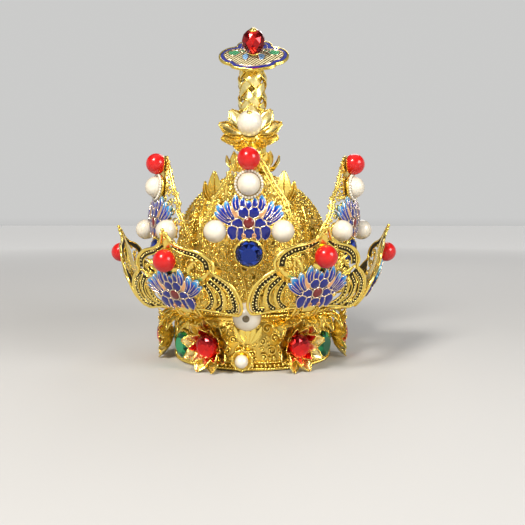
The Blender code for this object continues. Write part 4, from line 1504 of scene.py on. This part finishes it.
def plait():
    shape = Shape()
    for hand in (1, -1):
        for k in range(PLAIT_STRANDS):
            plait_ribbon(shape, hand, 2 * pi * (k + 0.5) / PLAIT_STRANDS)
    rope(shape, ring_points(PLAIT_RADIUS, PLAIT_FOOT + 0.6, 48), 0.6, 1.6)
    turned(shape, [(radius, PLAIT_TOP + height) for radius, height in PLAIT_CAP], "gold", 32)
    foot = PLAIT_TOP - 0.5
    top = CLOUD_CENTRE[2] - (CLOUD_TOP + GAP + POST_RADIUS * sin(CLOUD_LEAN)) / cos(CLOUD_LEAN)
    turned(shape, ((0.0, foot), (POST_RADIUS + 0.1, foot), (POST_RADIUS, top), (0.0, top)), "gold", 16)
    shape.make("plait_ribbons", "plait")


# Cloud plate in cloisonne enamel

CLOUD_CENTRE = (0.6, 0.0, 122.9)
CLOUD_LEAN = radians(41.0)
CLOUD_THICK = 1.3
CLOUD_TOP = CLOUD_THICK / 2
CLOUD_EDGE = (  # across, back from the middle
    (0, 13.2),
    (3.0, 12.9),
    (5.3, 11.8),
    (6.9, 9.8),
    (7.3, 7.8),
    (10.6, 6.2),
    (12.9, 3.8),
    (14.0, 0.6),
    (13.6, -2.2),
    (11.8, -5.1),
    (9.1, -6.8),
    (8.5, -8.3),
    (6.2, -9.7),
    (2.5, -10.8),
    (0, -11.4),
)
FIELD_EDGE = (  # the hatched field: across, back from the middle
    (0, 5.4),
    (4.6, 5.2),
    (8.0, 5.0),
    (10.6, 3.8),
    (12.0, 1.6),
    (12.0, -0.8),
    (10.6, -3.4),
    (8.4, -4.6),
    (7.2, -6.4),
    (5.2, -7.8),
    (2.4, -8.7),
    (0, -9.2),
)
LOBE = ((-5.4, 6.4), (-4.8, 9.4), (-2.6, 11.2), (0, 11.6), (2.6, 11.2), (4.8, 9.4), (5.4, 6.4))
LENS = ((-2.0, 1.2), (0, 2.0), (2.0, 1.2), (0, 0.4), (-2.0, 1.2))
CLOUD_CELLS = (  # finish, tint, outline on the right side
    ("green", 0.9, ((5.6, 2.0), (6.4, 3.4), (8.2, 3.8), (10.2, 2.8), (10.4, 0.9), (9.0, -0.4), (7.0, -0.2))),
    ("green", 0.6, ((3.2, 3.2), (4.4, 4.0), (6.0, 3.6), (5.4, 2.6), (4.2, 2.4))),
    ("sky", 0.55, ((1.7, 0.3), (3.0, 1.1), (4.4, 0.2), (4.6, -1.8), (3.9, -3.8), (2.7, -4.6), (2.2, -2.6))),
)
HATCH_STEP = 1.4
HATCH_SIDE = 15  # hatch lines on each side of the middle one
HATCH_REACH = np.array((9.0, 12.0))
TOP_BEAD_BACK = 1.2
TOP_BEAD = 4.9
TOP_BEAD_LEVELS = np.array((-0.98, -0.72, -0.28, 0.22, 0.62, 0.86, 0.97))
TOP_PIN = ((0.0, -1.0), (1.4, -0.6), (1.5, 0.0), (0.9, 0.5), (0.0, 0.6))
TOP_FOOT = ((0.0, -0.6), (2.2, -0.6), (2.4, -0.2), (1.8, 0.2), (0.0, 0.0))
CLOUD_SEAT = Seat(CLOUD_CENTRE, (0, -sin(CLOUD_LEAN), cos(CLOUD_LEAN)), (0, 1, 0))


def flat_cell(shape, outline, low, high, finish, tint=0.0):
    """A flat filled cell on the plate between two heights, any outline, as a closed solid."""
    count = len(outline)
    points = [Vector(point) for point in outline]
    found, _, tris, _, _, _ = delaunay_2d_cdt(points, [], [list(range(count))], 1, 1e-6)
    flat = np.array([tuple(p) for p in found])
    size = len(flat)
    lows = np.column_stack([flat, np.full(size, low)])
    highs = np.column_stack([flat, np.full(size, high)])
    area = sum(a[0] * b[1] - b[0] * a[1] for a, b in zip(outline, np.roll(outline, -1, axis=0)))
    rim = list(range(count)) if area > 0 else list(range(count))[::-1]
    faces = []
    for tri in tris:
        a, b, c = (flat[i] for i in tri)
        turn = (b[0] - a[0]) * (c[1] - a[1]) - (c[0] - a[0]) * (b[1] - a[1])
        tri = tuple(tri) if turn > 0 else tuple(tri)[::-1]
        faces.append(tuple(size + i for i in tri))
        faces.append(tri[::-1])
    for a, b in zip(rim, rim[1:] + rim[:1]):
        faces.append((a, b, size + b, size + a))
    shape.add(CLOUD_SEAT.put(np.vstack([lows, highs])), faces, finish, smooth=False, tint=tint)


def flat_wire(shape, outline, height, radius, finish="pale_wire", closed=True):
    """A wire on the plate along an outline."""
    line = spaced(np.vstack([outline, outline[:1]]) if closed else outline, 0.5)
    line = line[:-1] if closed else line
    points = CLOUD_SEAT.put(np.column_stack([line, np.full(len(line), height)]))
    tube(shape, points, radius, finish, 5, closed)


def whole_outline(half):
    line = smooth_line(half, 6)
    return np.vstack([line, (line[1:-1] * (-1, 1))[::-1]])


def hatching(shape, field):
    """Dark slanting lines over the field."""
    for k in range(-HATCH_SIDE, HATCH_SIDE + 1):
        middle = np.array((k * HATCH_STEP, 0.0))
        line = middle + np.linspace(-1, 1, 120)[:, None] * HATCH_REACH
        run = []
        for point, keep in zip(line, inside(field * 0.98, line)):
            if keep:
                run.append(point)
                continue
            if len(run) > 2:
                flat_wire(shape, run, CLOUD_TOP - 0.05, 0.27, "shade_and_hatch_dark", closed=False)
            run = []


def raised_cell(shape, outline, finish, tint):
    """An enamel cell with its wire round it, over the field."""
    flat_cell(shape, outline, CLOUD_TOP - 0.1, CLOUD_TOP + 0.12, finish, tint)
    flat_wire(shape, outline, CLOUD_TOP + 0.12, 0.17)


def cloud_plate():
    shape = Shape()
    cloud = whole_outline(CLOUD_EDGE)
    flat_cell(shape, cloud, -CLOUD_TOP, CLOUD_TOP - 0.35, "gold")
    flat_wire(shape, cloud, CLOUD_TOP - 0.35, 0.42, "gold")
    flat_wire(shape, cloud, -CLOUD_TOP + 0.35, 0.4, "gold")
    flat_cell(shape, cloud * 0.965, CLOUD_TOP - 0.4, CLOUD_TOP - 0.15, "blue", 0.2)
    field = whole_outline(FIELD_EDGE)
    flat_cell(shape, field, CLOUD_TOP - 0.2, CLOUD_TOP - 0.05, "cream_gold")
    lobe = smooth_line(LOBE, 5)
    for size in ((1, 1), (0.6, 0.86)):
        flat_wire(shape, lobe * size, CLOUD_TOP - 0.05, 0.2, closed=False)
    flat_wire(shape, field, CLOUD_TOP, 0.22)
    hatching(shape, field)
    for finish, tint, outline in CLOUD_CELLS:
        for side in (1, -1):
            closed = np.vstack([outline, outline[:1]]) * (side, 1)
            raised_cell(shape, smooth_line(closed, 4)[:-1], finish, tint)
    raised_cell(shape, smooth_line(LENS, 4)[:-1], "plum", 0.6)
    shape.make("cloud_cloisonne", "cloud_plate")


def top_bead():
    dice = np.random.default_rng(SEED * 50)
    shape = Shape()
    rest = CLOUD_TOP + GAP
    centre, pin, foot = (
        Seat(CLOUD_SEAT.put(np.array((0, TOP_BEAD_BACK, rest + height))), CLOUD_SEAT.z, (0, 1, 0))
        for height in (TOP_BEAD, 2 * TOP_BEAD, 0.4)
    )
    radii = np.sqrt(1 - TOP_BEAD_LEVELS**2) * TOP_BEAD
    heights = TOP_BEAD_LEVELS * TOP_BEAD
    # Painted highlight: the bead's facets are brightest in a band through its middle and darker to the sides.
    cut_stone(shape, centre, radii, heights, 10, "ruby", dice, lambda x, y: np.clip(1.05 - 2.2 * abs(x), 0, 1))
    turned(shape, TOP_PIN, "gold", 16, pin)
    turned(shape, TOP_FOOT, "gold", 20, foot)
    shape.make("top_bead_cut", "top_bead")


neck()
plait()
cloud_plate()
top_bead()

# Room, light and camera

CAMERA_AZIMUTH = 3.16
CAMERA_DISTANCE = 261.7
CAMERA_HEIGHT = 57.3
CAMERA_YAW = 0.91
CAMERA_PITCH = 4.12
CAMERA_LENS = 42.98
FLOOR_HALF = 4.0  # metres
FLOOR_GLOW = (0.15, 1.0, 0.45)  # metres from the middle where it starts and is full, its strength
WORLD_STRENGTH = 0.75
WORLD_STOPS = (  # share of the way from straight down to straight up, colour
    (0.45, (0.30, 0.29, 0.28)),
    (0.50, (0.80, 0.80, 0.79)),
    (0.67, (0.80, 0.80, 0.79)),
    (0.74, (0.10, 0.10, 0.10)),
    (0.90, (0.08, 0.08, 0.08)),
    (0.97, (0.7, 0.7, 0.7)),
)
LAMPS = (  # name, place, what it points at, size, power, colour
    ("key", (-0.24, -0.42, 0.50), (0, 0, 0.07), 0.20, 5.0, (1.0, 0.97, 0.92)),
    ("fill", (0.45, -0.34, 0.28), (0, 0, 0.06), 0.26, 2.2, (1, 1, 1)),
    ("rim", (0.10, 0.45, 0.45), (0, 0, 0.07), 0.3, 0.8, (1, 1, 1)),
)


def floor():
    """A pale floor whose far part glows a little, so that it meets the pale background."""
    made, tree, shader = blank("pale_floor")
    shader.inputs["Base Color"].default_value = (0.52, 0.51, 0.495, 1)
    shader.inputs["Roughness"].default_value = 0.7
    where = tree.nodes.new("ShaderNodeTexCoord")
    reach = tree.nodes.new("ShaderNodeVectorMath")
    reach.operation = "LENGTH"
    glow = tree.nodes.new("ShaderNodeMapRange")
    for socket, value in zip(("From Min", "From Max", "To Max"), FLOOR_GLOW):
        glow.inputs[socket].default_value = value
    tree.links.new(where.outputs["Object"], reach.inputs[0])
    tree.links.new(reach.outputs["Value"], glow.inputs["Value"])
    tree.links.new(glow.outputs[0], shader.inputs["Emission Strength"])
    shader.inputs["Emission Color"].default_value = (1.0, 0.99, 0.97, 1)
    mesh = bpy.data.meshes.new("floor")
    corners = [(x * FLOOR_HALF, y * FLOOR_HALF, 0) for x, y in ((-1, -1), (1, -1), (1, 1), (-1, 1))]
    mesh.from_pydata(corners, [], [(0, 1, 2, 3)])
    mesh.materials.append(made)
    plain = bpy.data.objects.new("floor", mesh)
    bpy.context.scene.collection.objects.link(plain)


def sky():
    world = bpy.data.worlds.new("studio")
    bpy.context.scene.world = world
    world.use_nodes = True
    tree = world.node_tree
    where = tree.nodes.new("ShaderNodeTexCoord")
    split = tree.nodes.new("ShaderNodeSeparateXYZ")
    tone = ramp(tree, WORLD_STOPS)
    half = tree.nodes.new("ShaderNodeMapRange")
    half.inputs["From Min"].default_value = -1.0
    tree.links.new(where.outputs["Generated"], split.inputs[0])
    tree.links.new(split.outputs[2], half.inputs["Value"])
    tree.links.new(half.outputs[0], tone.inputs[0])
    tree.links.new(tone.outputs[0], tree.nodes["Background"].inputs[0])
    tree.nodes["Background"].inputs[1].default_value = WORLD_STRENGTH


def lamp(name, place, target, size, power, colour):
    data = bpy.data.lights.new(name, "AREA")
    data.shape = "DISK"
    data.size = size
    data.energy = power
    data.color = colour
    made = bpy.data.objects.new(name, data)
    made.location = place
    made.rotation_euler = (Vector(target) - Vector(place)).to_track_quat("-Z", "Y").to_euler()
    bpy.context.scene.collection.objects.link(made)


def camera():
    data = bpy.data.cameras.new("camera")
    data.lens = CAMERA_LENS
    data.sensor_width = 36
    data.clip_start = 0.005
    made = bpy.data.objects.new("camera", data)
    made.location = Vector(polar(CAMERA_DISTANCE, CAMERA_AZIMUTH, CAMERA_HEIGHT)) * MM
    made.rotation_euler = (radians(90 - CAMERA_PITCH), 0, radians(CAMERA_AZIMUTH - CAMERA_YAW))
    bpy.context.scene.collection.objects.link(made)
    bpy.context.scene.camera = made


bpy.context.scene.view_settings.view_transform = "Standard"
floor()
sky()
camera()
for row in LAMPS:
    lamp(*row)

bpy.context.view_layer.update()
lows, highs = [], []
for made in bpy.context.scene.objects:
    if made.type == "MESH" and made.name != "floor" and not made.hide_render:
        points = np.array([tuple(made.matrix_world @ Vector(corner)) for corner in made.bound_box])
        lows.append(points.min(axis=0))
        highs.append(points.max(axis=0))
